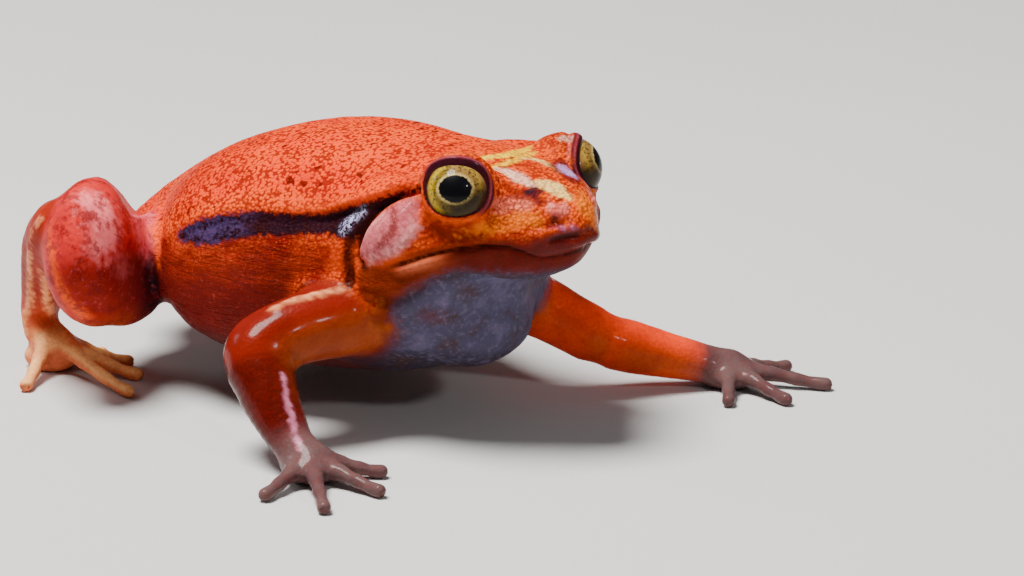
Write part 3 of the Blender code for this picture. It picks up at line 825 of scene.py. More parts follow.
# Brings the thigh and the rump inside the outline, and sets the root of the thigh back behind the flank
def shapeThigh(mesh):
    points = meshPoints(mesh)
    around = Neighbours(mesh)
    right, up, out = viewDirections(photoView)
    near = fade(points[:, 1], -6.0, -11.0) * fade(points[:, 0], -13.0, -17.0)
    near = near * solids.among("thigh_right", "torso")
    across, height = points @ right, points @ up
    excess = height - along(across, thighForm["outline"]) + thighForm["clear"]
    lowered = np.maximum(excess, 0.0) * fade(excess, -0.2, 0.6) * near
    points = points - up * lowered[:, None]
    setBack = thighForm["setBack"] * around.smooth(legShadow(points) * 1.0, 6)
    points = points - out * setBack[:, None]
    soften = around.smooth(near * fade(excess, -1.5, 0.3) * fade(excess, 12.0, 8.0), 4)[:, None]
    for _ in range(thighForm["repeats"]):
        points = points + (around.mean(points) - points) * soften * thighForm["strength"]
    setPoints(mesh, points)


def shapeBody(points, normals):
    side = mirroredToRight(points)
    x, y, z = side.T
    torso = solids.among("torso")
    over = z - along(x, bodyForm["edge"])
    flank = torso * fade(-y, 11.0, 16.0) * fade(over, -2.0, -5.0)
    stretch = np.column_stack([x / 3.4 + z / 9.0, y / 3.0, z])
    heights = bodyForm["wrinkles"] * noiseAt(stretch, 1.0, 3.1) * flank
    edge = torso * fade(x, 17.0, 11.0) * fade(x, -17.0, -9.0) * fade(-y, 9.0, 13.0)
    waver = 0.5 + noiseAt(points, 2.6, 21.0)
    heights += edge * (waver * band(over, bodyForm["rim"]) + band(over, bodyForm["groove"]))
    heights += bodyForm["uneven"] * noiseAt(points, 1.7, 9.0) * fade(normals[:, 2], -0.2, 0.4) * torso
    legs = solids.among("thigh_", "shank_", "upper_arm_", "forearm_")
    heights += bodyForm["limbUneven"] * noiseAt(points, 3.0, 13.0) * legs
    for rows, height, width in limbFolds:
        heights += height * ridge(lineDistance(side, rows), width)
    return points + normals * heights[:, None]


# 1 where two groups of solids meet, 0 away from there
def seam(around, group):
    share = around.smooth(group.astype(float), 7)
    return 4 * share * (1 - share)


# Fills the crease where a leg or an arm leaves the body
def softenSeams(mesh):
    around = Neighbours(mesh)
    points = meshPoints(mesh)
    share = np.maximum(seam(around, solids.among("thigh_")), 0.6 * seam(around, solids.among("upper_arm_")))
    share = around.smooth(np.minimum(share * 1.5, 1.0), 4)[:, None]
    for _ in range(26):
        points = points + (around.mean(points) - points) * share * 0.8
    setPoints(mesh, points)


softenSeams(skin.data)
shapeThigh(skin.data)
setPoints(skin.data, shapeHead(meshPoints(skin.data), meshNormals(skin.data)))
points = shapeLids(shapeBody(meshPoints(skin.data), meshNormals(skin.data)))
points[:, 2] = np.maximum(points[:, 2], skinForm["floorGap"])
setPoints(skin.data, points)
skin.data.shade_smooth()
print("skin shaped", triangles(skin.data))


# Colours carried by the skin's points, laid like paint from broad to fine
# Some tones are painted light and shade: the highlight tones of the thigh, its root, the cheek, the lid, the
# forearm, the lip ridge and the nose ridge, the brow's glint, part of the rim tone and the left arm's lighter
# tone are painted light; the throat, belly and snout shade tones are painted shade, and the near-black ink,
# the maroon and the deep red also lay painted shade in some places.
tones = {
    "back": (0.9, 0.04, 0.001), "backBright": (0.98, 0.064, 0.001), "flank": (0.17, 0.01, 0.008),
    "rim": (0.92, 0.088, 0.002), "limb": (0.19, 0.01, 0.005), "limbDark": (0.085, 0.005, 0.003),
    "inner": (0.36, 0.055, 0.006), "thigh": (0.6, 0.024, 0.022), "thighShine": (1.0, 0.21, 0.22),
    "pale": (1.0, 0.38, 0.15), "paleDeep": (0.62, 0.075, 0.03), "cheek": (0.6, 0.13, 0.15),
    "cheekShine": (0.92, 0.36, 0.34), "rust": (0.13, 0.014, 0.004), "lip": (0.25, 0.028, 0.005),
    "lipGold": (0.78, 0.145, 0.002), "throat": (0.066, 0.06, 0.105), "throatDark": (0.03, 0.022, 0.034),
    "belly": (0.06, 0.022, 0.02), "snout": (0.98, 0.19, 0.001), "snoutDark": (0.1, 0.01, 0.008),
    "lid": (0.045, 0.006, 0.012), "lidCrestHighlight": (0.85, 0.2, 0.17), "ink": (0.012, 0.007, 0.014),
    "finger": (0.115, 0.066, 0.064), "gold": (1.0, 0.66, 0.004), "cream": (1.0, 0.7, 0.2),
    "creamPink": (1.0, 0.62, 0.42), "deepRed": (0.16, 0.008, 0.004), "lilac": (0.95, 0.17, 0.22),
    "lavender": (0.42, 0.26, 0.6), "toe": (1.0, 0.52, 0.19), "headTop": (0.72, 0.072, 0.003),
    "pinkPebble": (0.85, 0.2, 0.12), "maroon": (0.1, 0.008, 0.01), "armpitGold": (0.5, 0.1, 0.006),
    "lavenderLight": (0.55, 0.36, 0.75), "lipRidge": (0.7, 0.16, 0.07), "forearmShine": (0.72, 0.26, 0.38),
    "backDeep": (0.4, 0.014, 0.001), "nosePink": (0.88, 0.2, 0.16), "leftLimb": (0.95, 0.054, 0.004),
    "lobe": (0.2, 0.022, 0.003), "shank": (0.34, 0.02, 0.005), "lidPurpleHighlight": (0.34, 0.06, 0.085),
}
# Zones: the solids, the tone, its strength, then measures. A measure with two values fades in from the first
# to the second, and one without values is a share of its own.
everySolid = ("",)
broadZones = [
    (("torso",), "back", 1.0, ("fore",), ("roughOver", -0.5, 0.5)),
    # bright orange along the raised edge over the stripe: partly its colour and partly a painted highlight
    (("torso",), "rim", 1.0, ("fore",), ("softOver", 0.1, 0.7), ("over", 3.2, 1.2), ("out", 9.0, 13.0)),
    # the back painted lighter towards its top: painted light from above
    (("torso",), "backBright", 0.55, ("fore",), ("over", 4.0, 8.0)),
    (("torso",), "backDeep", 0.45, ("fore",), ("over", 0.6, 2.0), ("x", -8.0, -20.0)),
    (("torso",), "back", 1.0, ("rump",), ("z", 14.0, 20.0)),
    (("torso",), "rim", 0.7, ("over", -2.0, -3.6), ("x", 11.5, 14.5), ("z", 20.0, 25.0)),
    (("torso",), "deepRed", 0.85, ("over", -2.0, -3.6), ("x", 0.0, 6.0), ("x", 13.5, 11.0)),
    # downward faces low on the body painted dark: painted shade
    (("torso",), "belly", 0.9, ("level", -0.35, -0.8), ("z", 16.0, 9.0)),
    (("head",), "headTop", 1.0),
    (("head",), "back", 1.0, ("x", 31.0, 15.0), ("over", -0.5, 0.5)),
    # the same painted light on the rear of the head
    (("head",), "backBright", 0.55, ("x", 31.0, 15.0), ("over", -0.5, 0.5)),
    (("head",), "lip", 1.0, ("above", 4.5, 1.5), ("x", 24.0, 30.0)),
    # dark painted shade on the front of the upper lip, under the snout
    (("head",), "snoutDark", 1.0, ("above", 4.2, 2.6), ("x", 42.0, 45.0)),
    (("head",), "snoutDark", 1.0, ("above", 3.6, 1.8), ("x", 36.0, 41.5)),
    (("lower_jaw",), "rust", 1.0),
    # dark painted shade on the front of the lower jaw
    (("lower_jaw",), "snoutDark", 0.75, ("x", 29.0, 35.0)),
    (("lower_jaw", "torso"), "lobe", 0.9, ("x", 17.6, 18.8), ("x", 36.0, 30.0), ("under", -0.6, 0.5),
     ("out", 9.0, 12.0)),
    # a pale painted highlight along the lower lip's ridge
    (("lower_jaw",), "lipRidge", 0.8, ("lipLine",), ("x", 25.0, 28.0), ("x", 34.0, 29.5)),
    (everySolid, "cheek", 1.0, ("roughInside", -0.3, 0.9)),
    (everySolid, "throat", 1.0, ("throat",)),
    # the throat painted darker under the jaw's edge and towards its bottom, and the low chest darker: painted
    # shade
    (everySolid, "throatDark", 0.8, ("throat",), ("under", -2.6, -0.6)),
    (everySolid, "throatDark", 0.5, ("throat",), ("z", 15.0, 9.0)),
    (("torso",), "throatDark", 0.85, ("x", 9.0, 15.0), ("z", 15.0, 11.0)),
    (("forearm_",), "limbDark", 1.0),
    (("upper_arm_",), "limb", 1.0),
    # the left arm gets a much lighter copy of the arm tone: painted light
    (("upper_arm_left", "forearm_left"), "leftLimb", 1.0),
    (("upper_arm_", "forearm_"), "inner", 0.85, ("ahead", 0.45, 1.0)),
    (("thigh_",), "thigh", 1.0),
    (("thigh_",), "inner", 0.8, ("z", 16.0, 11.0)),
    # the thigh darker towards the body and lower down: painted shade
    (("thigh_",), "deepRed", 0.75, ("x", -24.0, -20.0), ("z", 25.0, 21.0)),
    (("shank_", "tarsus_"), "shank", 1.0),
    (("shank_", "tarsus_"), "paleDeep", 0.6, ("z", 14.0, 8.0)),
    # grey-violet on the hands: partly their colour and partly painted shade
    (everySolid, "finger", 1.0, ("hand",)),
    (everySolid, "toe", 1.0, ("foot",)),
    (("foot_",), "paleDeep", 0.75, ("level", 0.55, 0.1)),
]
# Painted shade beside the gap between thigh and flank, laid after the broad zones are softened
gapZones = [
    (("torso",), "maroon", 0.8, ("right",), ("across", -27.4, -29.8), ("height", 21.5, 18.5)),
    (("thigh_",), "maroon", 0.75, ("right",), ("across", -36.0, -31.5), ("height", 22.0, 18.5)),
    # near-black painted shadow on the part of the thigh behind the flank
    (everySolid, "ink", 0.9, ("legShadow",)),
]
throatForm = {
    # x of the throat's rear edge by height, then the measures as in a zone
    "edge": [(5.0, 11.0), (11.0, 17.8), (15.6, 22.2), (22.6, 24.4), (26.0, 27.0), (28.0, 31.0)],
    "measures": (("ahead", -1.4, 1.4), ("under", 0.9, -1.3), ("z", 33.0, 31.0)),
}
# Strokes on both sides: tone, strength, softness, then rows of x, y, z and half width
bothStrokes = [
    # deep red below and behind the eye: painted shade
    ("deepRed", 0.85, 1.4, [(30.6, -16.0, 34.0, 1.6), (34.4, -13.5, 34.2, 1.7)]),
    ("pinkPebble", 0.8, 0.7, [(36.6, -10.6, 38.0, 0.9), (38.8, -7.9, 37.4, 1.3), (40.6, -6.2, 37.7, 0.9)]),
    ("pinkPebble", 0.75, 0.7, [(36.4, -10.6, 36.4, 0.6), (37.8, -9.4, 36.6, 0.9)]),
    # maroon painted shade along the snout's front, under the nose ridge
    ("maroon", 0.8, 1.1, [
        (37.5, -10.4, 33.0, 0.6), (41.0, -7.5, 33.0, 1.0), (43.3, -6.0, 33.0, 1.1), (44.8, -4.5, 33.0, 1.1),
        (46.0, -2.8, 33.0, 0.9),
    ]),
    # a lavender painted highlight along the ridge under the nostril
    ("lavender", 0.6, 0.4, [
        (42.4, -7.0, 33.8, 0.2), (43.8, -5.4, 34.1, 0.35), (44.9, -4.0, 34.5, 0.35),
        (45.8, -2.6, 34.6, 0.3),
    ]),
    ("nosePink", 0.85, 0.6, [(43.4, -4.6, 37.4, 0.9), (44.3, -3.7, 37.1, 1.1)]),
    # maroon painted shade round the nostril
    ("maroon", 0.55, 0.6, [(42.6, -6.2, 35.4, 0.3), (43.9, -4.6, 35.7, 0.5), (44.8, -3.4, 35.6, 0.3)]),
    ("lipGold", 0.95, 0.8, [
        (33.5, -13.8, 34.0, 0.5), (37.8, -10.5, 35.0, 1.1), (39.9, -8.6, 35.5, 1.3),
        (42.1, -6.7, 35.6, 1.0),
    ]),
    # a painted highlight streak down the forearm
    ("forearmShine", 0.75, 0.5, [
        (17.2, -32.5, 13.6, 0.2), (19.4, -33.7, 10.7, 0.35), (22.0, -35.2, 7.2, 0.35),
        (24.1, -36.2, 4.9, 0.2),
    ]),
    # pale pink painted highlights on the thigh
    ("thighShine", 0.3, 1.7, [(-19.5, -31.0, 23.0, 1.2), (-19.2, -29.8, 21.5, 1.2)]),
    ("thighShine", 0.95, 1.9, [
        (-22.8, -33.0, 31.9, 1.0), (-20.8, -31.9, 30.5, 2.0), (-19.2, -32.6, 27.3, 1.9),
        (-18.8, -34.9, 25.5, 1.0),
    ]),
    # an orange painted rim highlight down the thigh's outer edge
    ("rim", 0.85, 0.6, [
        (-25.9, -37.0, 28.5, 0.3), (-24.6, -38.2, 26.2, 0.5), (-23.3, -39.1, 23.7, 0.6),
        (-22.4, -38.0, 18.7, 0.9), (-22.0, -34.5, 14.0, 1.2),
    ]),
    # a lilac painted highlight on the root of the thigh, partly its own colour
    ("lilac", 0.75, 1.6, [(-26.5, -17.5, 26.5, 1.2), (-21.6, -23.3, 25.5, 1.8), (-22.3, -21.1, 21.8, 1.5)]),
    # a bright orange painted highlight down the flank's rear edge
    ("rim", 0.9, 0.7, [
        (-26.5, -14.5, 29.5, 0.6), (-22.8, -18.6, 26.4, 0.8), (-20.6, -20.6, 23.5, 0.8),
        (-19.6, -21.6, 20.0, 0.6),
    ]),
    # paler lines along the folds and tendons: partly their colour and partly painted highlights on their
    # crests
    *[("pale", 0.9, 0.7, rows) for rows, _, _ in limbFolds],
    ("armpitGold", 0.8, 1.8, [(20.4, -16.0, 21.0, 1.4), (20.6, -15.4, 18.4, 1.8)]),
    # pale pink painted highlights along the cheek disc's lower edges, with the drum's rust line between them
    ("cheekShine", 0.85, 0.9, reliefRows("cheekShine")),
    ("rust", 0.75, 0.45, reliefRows("drum")),
    ("cheekShine", 0.55, 0.5, [
        (19.2, -18.8, 30.0, 0.3), (20.6, -18.8, 32.6, 0.4), (22.8, -18.0, 35.2, 0.3),
    ]),
]
# Strokes where they are, most of them on the forehead and snout
placedStrokes = [
    ("gold", 0.9, 0.5, [
        (26.5, -6.5, 41.3, 0.4), (29.2, -2.1, 41.5, 0.9), (30.4, 0.7, 41.5, 1.0), (29.5, 4.6, 41.2, 0.9),
        (28.4, 7.5, 40.8, 0.5),
    ]),
    ("gold", 0.85, 0.5, [
        (31.4, -6.2, 41.0, 0.3), (32.3, -3.5, 41.0, 0.6), (32.5, -0.9, 41.3, 0.8), (32.0, 2.2, 41.2, 0.7),
        (31.0, 5.4, 40.9, 0.3),
    ]),
    ("cream", 0.9, 0.5, [
        (32.9, 1.0, 41.2, 0.3), (33.9, 2.7, 41.0, 0.8), (36.1, 2.8, 40.6, 0.9), (38.5, 2.4, 40.1, 0.4),
    ]),
    ("creamPink", 0.9, 0.5, [
        (33.0, -5.6, 40.7, 0.5), (33.7, -4.2, 40.8, 0.9), (36.5, -4.2, 40.2, 1.0), (39.4, -4.0, 39.4, 0.6),
    ]),
    ("cream", 0.95, 0.5, [
        (38.9, -2.8, 39.8, 0.5), (40.2, -2.4, 39.5, 1.2), (41.7, -1.8, 39.1, 1.4), (43.3, -1.5, 38.3, 0.8),
    ]),
    ("deepRed", 0.85, 0.5, [
        (33.6, -7.4, 40.3, 0.4), (36.2, -6.8, 39.5, 0.8), (38.8, -6.2, 38.7, 0.8), (41.6, -5.0, 38.0, 0.6),
    ]),
    ("deepRed", 0.7, 0.5, [(33.6, -1.6, 41.0, 0.3), (35.6, -1.0, 40.7, 0.5), (37.6, -0.4, 40.3, 0.3)]),
    ("ink", 0.97, 0.4, [(39.2, -5.4, 38.9, 0.5), (40.0, -4.8, 39.0, 0.9), (40.8, -4.0, 39.0, 0.4)]),
    ("ink", 0.6, 0.3, [
        (38.2, -3.0, 40.0, 0.15), (39.3, -3.7, 39.5, 0.3), (40.9, -5.2, 38.3, 0.3),
        (42.0, -5.4, 37.6, 0.15),
    ]),
    ("creamPink", 0.9, 0.5, [(32.6, 9.6, 42.5, 0.5), (33.3, 11.0, 42.6, 0.9), (34.4, 11.2, 42.3, 0.7)]),
    # on the left brow, a lavender painted glint in a hollow, with maroon painted shade round it
    ("maroon", 0.9, 0.6, [(36.0, 6.4, 39.9, 1.5), (38.0, 4.4, 39.9, 2.5), (40.4, 3.0, 39.6, 1.6)]),
    ("lavenderLight", 0.9, 0.6, [(36.6, 6.2, 39.9, 0.7), (37.9, 4.8, 39.9, 1.5), (39.2, 3.9, 39.7, 1.0)]),
    ("lid", 0.8, 0.4, [
        (35.1, 10.8, 41.5, 0.3), (35.9, 9.9, 40.4, 0.5), (36.6, 9.2, 39.3, 0.6), (36.9, 8.6, 37.8, 0.5),
    ]),
    ("snout", 0.95, 1.0, [(43.4, 0.8, 37.8, 1.2), (45.0, 0.8, 36.8, 1.7), (46.2, 1.8, 35.3, 1.4)]),
    ("ink", 0.85, 0.35, [(33.5, 2.0, 21.7, 0.55), (33.9, 2.4, 21.6, 0.4)]),
    ("ink", 0.9, 0.35, [(32.5, -5.1, 18.3, 0.35), (32.9, -4.5, 18.7, 0.65), (33.3, -3.6, 19.2, 0.35)]),
    ("rust", 0.45, 1.4, [(28.0, -13.4, 19.9, 1.2), (28.6, -12.4, 19.4, 1.0)]),
]
strokeWidth = 0.45  # where the rows give none


class Paint:
    def __init__(self, points, tone):
        self.points = points
        self.side = mirroredToRight(points)
        self.colour = np.tile(np.array(tones[tone]), (len(points), 1))
        self.ragged = noiseAt(points, 0.8, 31.0) + 0.6 * noiseAt(points, 0.42, 47.0)
        self.plain = np.zeros(len(points))

    def lay(self, share, tone):
        share = np.clip(share, 0, 1)[:, None]
        self.colour = self.colour * (1 - share) + np.array(tones[tone]) * share

    def zone(self, measures, nodes, tone, strength, *terms):
        self.lay(solids.among(*nodes) * strength * product(measures, terms), tone)

    def stroke(self, tone, strength, soft, rows, bothSides):
        rows = [(*row[:3], row[3] if len(row) > 3 else strokeWidth) for row in rows]
        gap, _ = tubeDistance(self.side if bothSides else self.points, smoothPath(rows))
        share = strength * fade(gap + self.ragged * soft * 0.9, soft, -soft * 0.6)
        self.lay(share, tone)
        self.plain = np.maximum(self.plain, share)


def product(measures, terms):
    share = 1.0
    for name, *limits in terms:
        share = share * (fade(measures[name], *limits) if limits else measures[name])
    return share


# What the zones are bounded by, for every point of the skin
def zoneMeasures(paint, normals, around):
    points, ragged = paint.points, paint.ragged
    x, y, z = paint.side.T
    right, up, _ = viewDirections(photoView)
    over = z - along(x, bodyForm["edge"])
    above = z - along(x, headForm["mouth"])
    under = z - along(x, headForm["jawEdge"])
    throat = {"ahead": x - along(z, throatForm["edge"]) + ragged, "under": under + ragged * 0.9, "z": z}
    return {
        "x": x, "out": -y, "z": z, "level": normals[:, 2], "ahead": normals[:, 0] - normals[:, 2] * 0.4,
        "over": over, "above": above, "under": under,
        "roughOver": over + ragged * 0.5, "softOver": over + ragged * 0.4,
        "roughInside": inCheek(paint.side) + ragged * 0.35,
        "fore": x > -24.0, "rump": x <= -24.0, "right": points[:, 1] < 0,
        "lipLine": ridge(above + 1.1, 0.75),
        "throat": solids.among("lower_jaw", "torso") * product(throat, throatForm["measures"]),
        "hand": around.smooth(solids.among("hand_") * 1.0, 40),
        "foot": around.smooth(solids.among("foot_") * 1.0, 30),
        "across": points @ right, "height": points @ up, "legShadow": legShadow(points),
    }


def paintSkin(mesh, around):
    paint = Paint(meshPoints(mesh), "flank")
    measures = zoneMeasures(paint, meshNormals(mesh), around)
    for zone in broadZones:
        paint.zone(measures, *zone)
    paint.colour = around.smooth(paint.colour, 3)
    for zone in gapZones:
        paint.zone(measures, *zone)
    for stroke in bothStrokes:
        paint.stroke(*stroke, True)
    for stroke in placedStrokes:
        paint.stroke(*stroke, False)
    return paint, measures


# Masks that the finish reads
maskForm = {
    # x behind which the stripe stops, and its distance from the edge above it and from the cheek disc
    "stripeFrom": -14.0, "stripeUnder": 0.1, "stripeClear": 0.15,
    # a painted blue glint in front of the stripe: x, y, z and half width
    "glint": [(18.3, -17.0, 34.6, 0.6), (15.9, -16.8, 32.9, 0.9), (15.2, -17.5, 31.5, 0.8)],
    # strength and half width of the painted shade in each hollow
    "hollowShades": {"shoulderGroove": (1.25, 1.0), "nostril": (1.0, 0.6), "noseHollow": (0.8, 0.5),
                "underNostril": (0.6, 0.45)},
    # places and sizes of the pebbled patches on the brows and the snout
    "pebbles": [((38.6, -7.9, 37.6), 2.4), ((32.0, 11.0, 41.8), 4.2), ((37.8, -10.2, 36.0), 2.2)],
    # wetness of dry skin, of the arms, of the legs, of the cheek disc and of the snout
    "dry": 0.04, "arms": 0.86, "legs": 0.12, "disc": 0.85, "snout": 0.9,
}


def stripeMask(side, inside):
    x, y, z = side.T
    top, low = along(x, bodyForm["edge"]), along(x, bodyForm["stripeLow"])
    stripe = np.minimum(top - z - maskForm["stripeUnder"], z - low)
    stripe = np.minimum(stripe, x - maskForm["stripeFrom"]) - 8 * fade(x, 29.0, 31.0)
    stripe = np.minimum(stripe, -inside - maskForm["stripeClear"]) - 8 * fade(-y, 11.0, 8.0)
    return np.where(solids.among("torso", "head"), stripe, -9)


# Painted shade along the mouth's line, behind the cheek disc, in the armpit and in the hollows of the head
def creaseShadeMask(side, inside, above, around):
    x, _, z = side.T
    lips = fade(x, 24.0, 27.5) * solids.among("head", "lower_jaw") * (0.75 + 0.25 * fade(x, 34.0, 44.0))
    behindCheek = fade(x, 16.0, 17.5) * fade(x, 21.5, 19.5) * fade(z, 22.5, 25.0)
    armpitShade = 0.35 * seam(around, solids.among("upper_arm_")) * solids.among("torso", "upper_arm_")
    masks = [ridge(above, 0.26) * lips, ridge(inside + 0.8, 0.5) * behindCheek, armpitShade]
    for name, (strength, width) in maskForm["hollowShades"].items():
        masks.append(strength * ridge(lineDistance(side, reliefRows(name)), width))
    return np.max(masks, axis=0)


# Paints the lids, and returns the lid's own mask and that of the bare skin above it
def paintLids(paint):
    lid, bare = np.zeros(len(paint.points)), np.zeros(len(paint.points))
    for eye in eyes.values():
        _, length, past, high, forward = aroundEye(paint.points, eye)
        upper = fade(high, *lidForm["upper"])
        corner = fade(forward, 0.5, 0.95) * fade(high, 0.8, 0.1)
        reach = -1.5 + 5.5 * upper + 5.0 * corner
        lid = np.maximum(lid, fade(past, reach + 4.0, reach) * fade(length, 8.0, 7.0))
        close = fade(length, 8.2, 7.2) * np.maximum(upper, corner)
        bare = np.maximum(bare, fade(past, 20.0, 16.0) * close)
        paint.lay(fade(past, 18.0, 14.5) * close, "lid")
        # a purple-pink band across the lid, partly its colour and partly a painted highlight, then a pink
        # painted highlight on the crest of the upper lid's fold
        paint.lay(0.95 * ridge(past - 9.5, 2.2) * close, "lidPurpleHighlight")
        paint.lay(0.65 * ridge(past - 20.5, 3.0) * upper * close, "lidCrestHighlight")
    return lid, bare


def wetMask(x, inside, lid):
    among = solids.among
    wet = maskForm["dry"] + maskForm["arms"] * among("upper_arm_", "forearm_", "hand_")
    wet = wet + maskForm["legs"] * among("foot_", "shank_", "tarsus_", "thigh_")
    wet = np.maximum(wet, fade(inside, -0.2, 0.8) * maskForm["disc"])
    wet = np.maximum(wet, fade(x, 40.0, 44.0) * maskForm["snout"] * among("head"))
    return np.minimum(np.maximum(wet, lid), 1.0)


def pebbleMask(points):
    pebble = np.zeros(len(points))
    for centre, reach in maskForm["pebbles"]:
        pebble = np.maximum(pebble, fade(distanceTo(points, centre), reach, reach * 0.6))
    return pebble * solids.among("head", "torso")


# The flank's streaks, also on the jaw's rear lobe
def flankMask(side, inside, measures, around):
    x, y, _ = side.T
    over, under, above = measures["over"], measures["under"], measures["above"]
    flank = solids.among("torso") * fade(-y, 11.0, 16.0) * fade(over, -1.5, -3.5) * fade(x, 14.0, 9.0)
    lobe = solids.among("torso", "lower_jaw", "head") * fade(x, 17.6, 18.8) * fade(x, 31.0, 27.0) * 0.7
    lobe = lobe * fade(under, -0.3, 0.6) * fade(above, 0.0, -1.2) * fade(inside, 0.2, -0.6)
    return np.maximum(flank, around.smooth(lobe, 2))


def storeColour(mesh, name, values):
    layer = mesh.attributes.new(name, "FLOAT_COLOR", "POINT")
    opaque = np.column_stack([values, np.ones(len(values))])
    layer.data.foreach_set("color", opaque.astype(np.float32).ravel())


def storeShare(mesh, name, values):
    layer = mesh.attributes.new(name, "FLOAT", "POINT")
    layer.data.foreach_set("value", np.clip(values, -9, 9).astype(np.float32))


def markSkin(mesh):
    around = Neighbours(mesh)
    paint, measures = paintSkin(mesh, around)
    side, normals = paint.side, meshNormals(mesh)
    x = side[:, 0]
    inside = inCheek(side)
    lid, bare = paintLids(paint)
    grain = solids.among("torso", "head") * fade(normals[:, 2], -0.1, 0.45) * fade(inside, 0.2, -0.4)
    blue = tubeDistance(side, smoothPath(maskForm["glint"]))[0]
    shares = {
        "stripe": stripeMask(side, inside), "stripeBlue": fade(x, 1.5, -3.0) * 0.92 + 0.08,
        "blueGlint": fade(blue, 0.7, -0.5),
        "crease": creaseShadeMask(side, inside, measures["above"], around),
        "lid": lid, "grain": around.smooth(grain.astype(float), 4) * (1 - bare),
        "mottle": around.smooth(solids.among("thigh_") * 1.0, 6),
        "plain": np.maximum(paint.plain, 0.25 * fade(x, 14.0, 30.0)),
        "wet": around.smooth(wetMask(x, inside, lid), 5),
        "throat": measures["throat"].astype(float), "cheek": fade(inside, -0.2, 0.6),
        "pebble": pebbleMask(paint.points), "flank": flankMask(side, inside, measures, around),
    }
    for name, values in shares.items():
        storeShare(mesh, name, values)
    storeColour(mesh, "tone", paint.colour)


markSkin(skin.data)
print("skin painted")


# The skin's finish
skinTints = {
    "deeper": (0.62, 0.42, 0.50), "orange": (0.95, 0.090, 0.003), "blotch": (0.22, 0.004, 0.001),
    "top": (0.98, 0.105, 0.004), "spot": (0.10, 0.004, 0.003), "net": (0.15, 0.009, 0.006),
    "stripeInk": (0.004, 0.001, 0.003), "stripeBlue": (0.034, 0.022, 0.074), "glint": (0.56, 0.58, 0.92),
    # the crease tint below is the near-black of painted shade
    "crease": (0.025, 0.003, 0.003), "lid": (0.030, 0.004, 0.009),
}
# Patches of a pattern on a masked part: mask, pattern, where the pattern starts and is full, strength, colour
skinPatches = [
    ("mottle", "smudges", 0.46, 0.66, 0.70, (0.15, 0.005, 0.006)),
    ("mottle", "speckle", 0.54, 0.72, 0.30, (0.85, 0.10, 0.12)),
    ("throat", "cloud", 0.50, 0.68, 0.65, (0.060, 0.028, 0.022)),
    ("throat", "cloud", 0.48, 0.34, 0.55, (0.130, 0.105, 0.190)),
    ("throat", "speckle", 0.48, 0.72, 0.40, (0.19, 0.15, 0.23)),
    ("cheek", "speckle", 0.42, 0.66, 0.50, (0.24, 0.034, 0.050)),
    ("cheek", "fine", 0.52, 0.74, 0.45, (0.72, 0.22, 0.20)),
    ("flank", "speckle", 0.52, 0.68, 0.55, (0.17, 0.006, 0.003)),
    ("flank", "fine", 0.60, 0.70, 0.28, (0.62, 0.10, 0.06)),
]
skinMasks = ("stripe", "stripeBlue", "blueGlint", "crease", "lid", "grain", "mottle", "plain", "wet",
             "throat", "cheek", "pebble", "flank")
skinSurface = {
    "Coat_Roughness": 0.13, "Coat_IOR": 1.22, "IOR": 1.38,
    "Specular_IOR_Level": 0.08, "Specular_Tint": (1.0, 0.34, 0.20),
    "Subsurface_Weight": 0.05, "Subsurface_Radius": (1.0, 0.25, 0.12), "Subsurface_Scale": 1.0 * mm,
}


# Broad darker patches, red blotches between the granules, paler granule tops and single dark spots
def backColour(finish, place, masks, patterns):
    between, tone = finish.between, finish.attribute("tone", "Color")
    marked, skinShare = 1 - masks["plain"], 1 - masks["throat"]
    granules, patches, speckle = patterns["granules"], patterns["patches"], patterns["speckle"]
    deeper = finish.mix(1.0, tone, skinTints["deeper"], "MULTIPLY")
    broad = between(finish.noise(place, 0.20, 3.0, 0.6), 0.38, 0.66)
    colour = finish.mix(broad * 0.55 * skinShare, tone, deeper)
    orange = between(finish.noise(place, 0.13, 2.0, 0.5), 0.42, 0.60)
    colour = finish.mix(orange * masks["grain"] * marked * 0.45, colour, skinTints["orange"])
    blotch = between((granules - 0.42) * 1.2 + (speckle - 0.5) + (patches - 0.5) * 0.9, 0.0, 0.32)
    onBack = masks["grain"] * (1 - masks["plain"] * 0.75) * 0.72
    colour = finish.mix(blotch * (0.15 * skinShare + onBack), colour, skinTints["blotch"])
    tops = between((0.42 - granules) * 0.8 + (speckle - 0.5) * 0.9 + (patches - 0.5) * 0.8, 0.02, 0.40)
    colour = finish.mix(tops * masks["grain"] * marked * 0.60, colour, skinTints["top"])
    spots = between(finish.noise(place, 0.62, 1.0, 0.4), 0.68, 0.72) * masks["grain"] * marked
    colour = finish.mix(spots * 0.85, colour, skinTints["spot"])
    cells = finish.cells(place, 1.25, "DISTANCE_TO_EDGE")
    net = 1 - between(cells + (patterns["fine"] - 0.5) * 0.3, 0.0, 0.26)
    return finish.mix(masks["pebble"] * net * 0.65, colour, skinTints["net"])


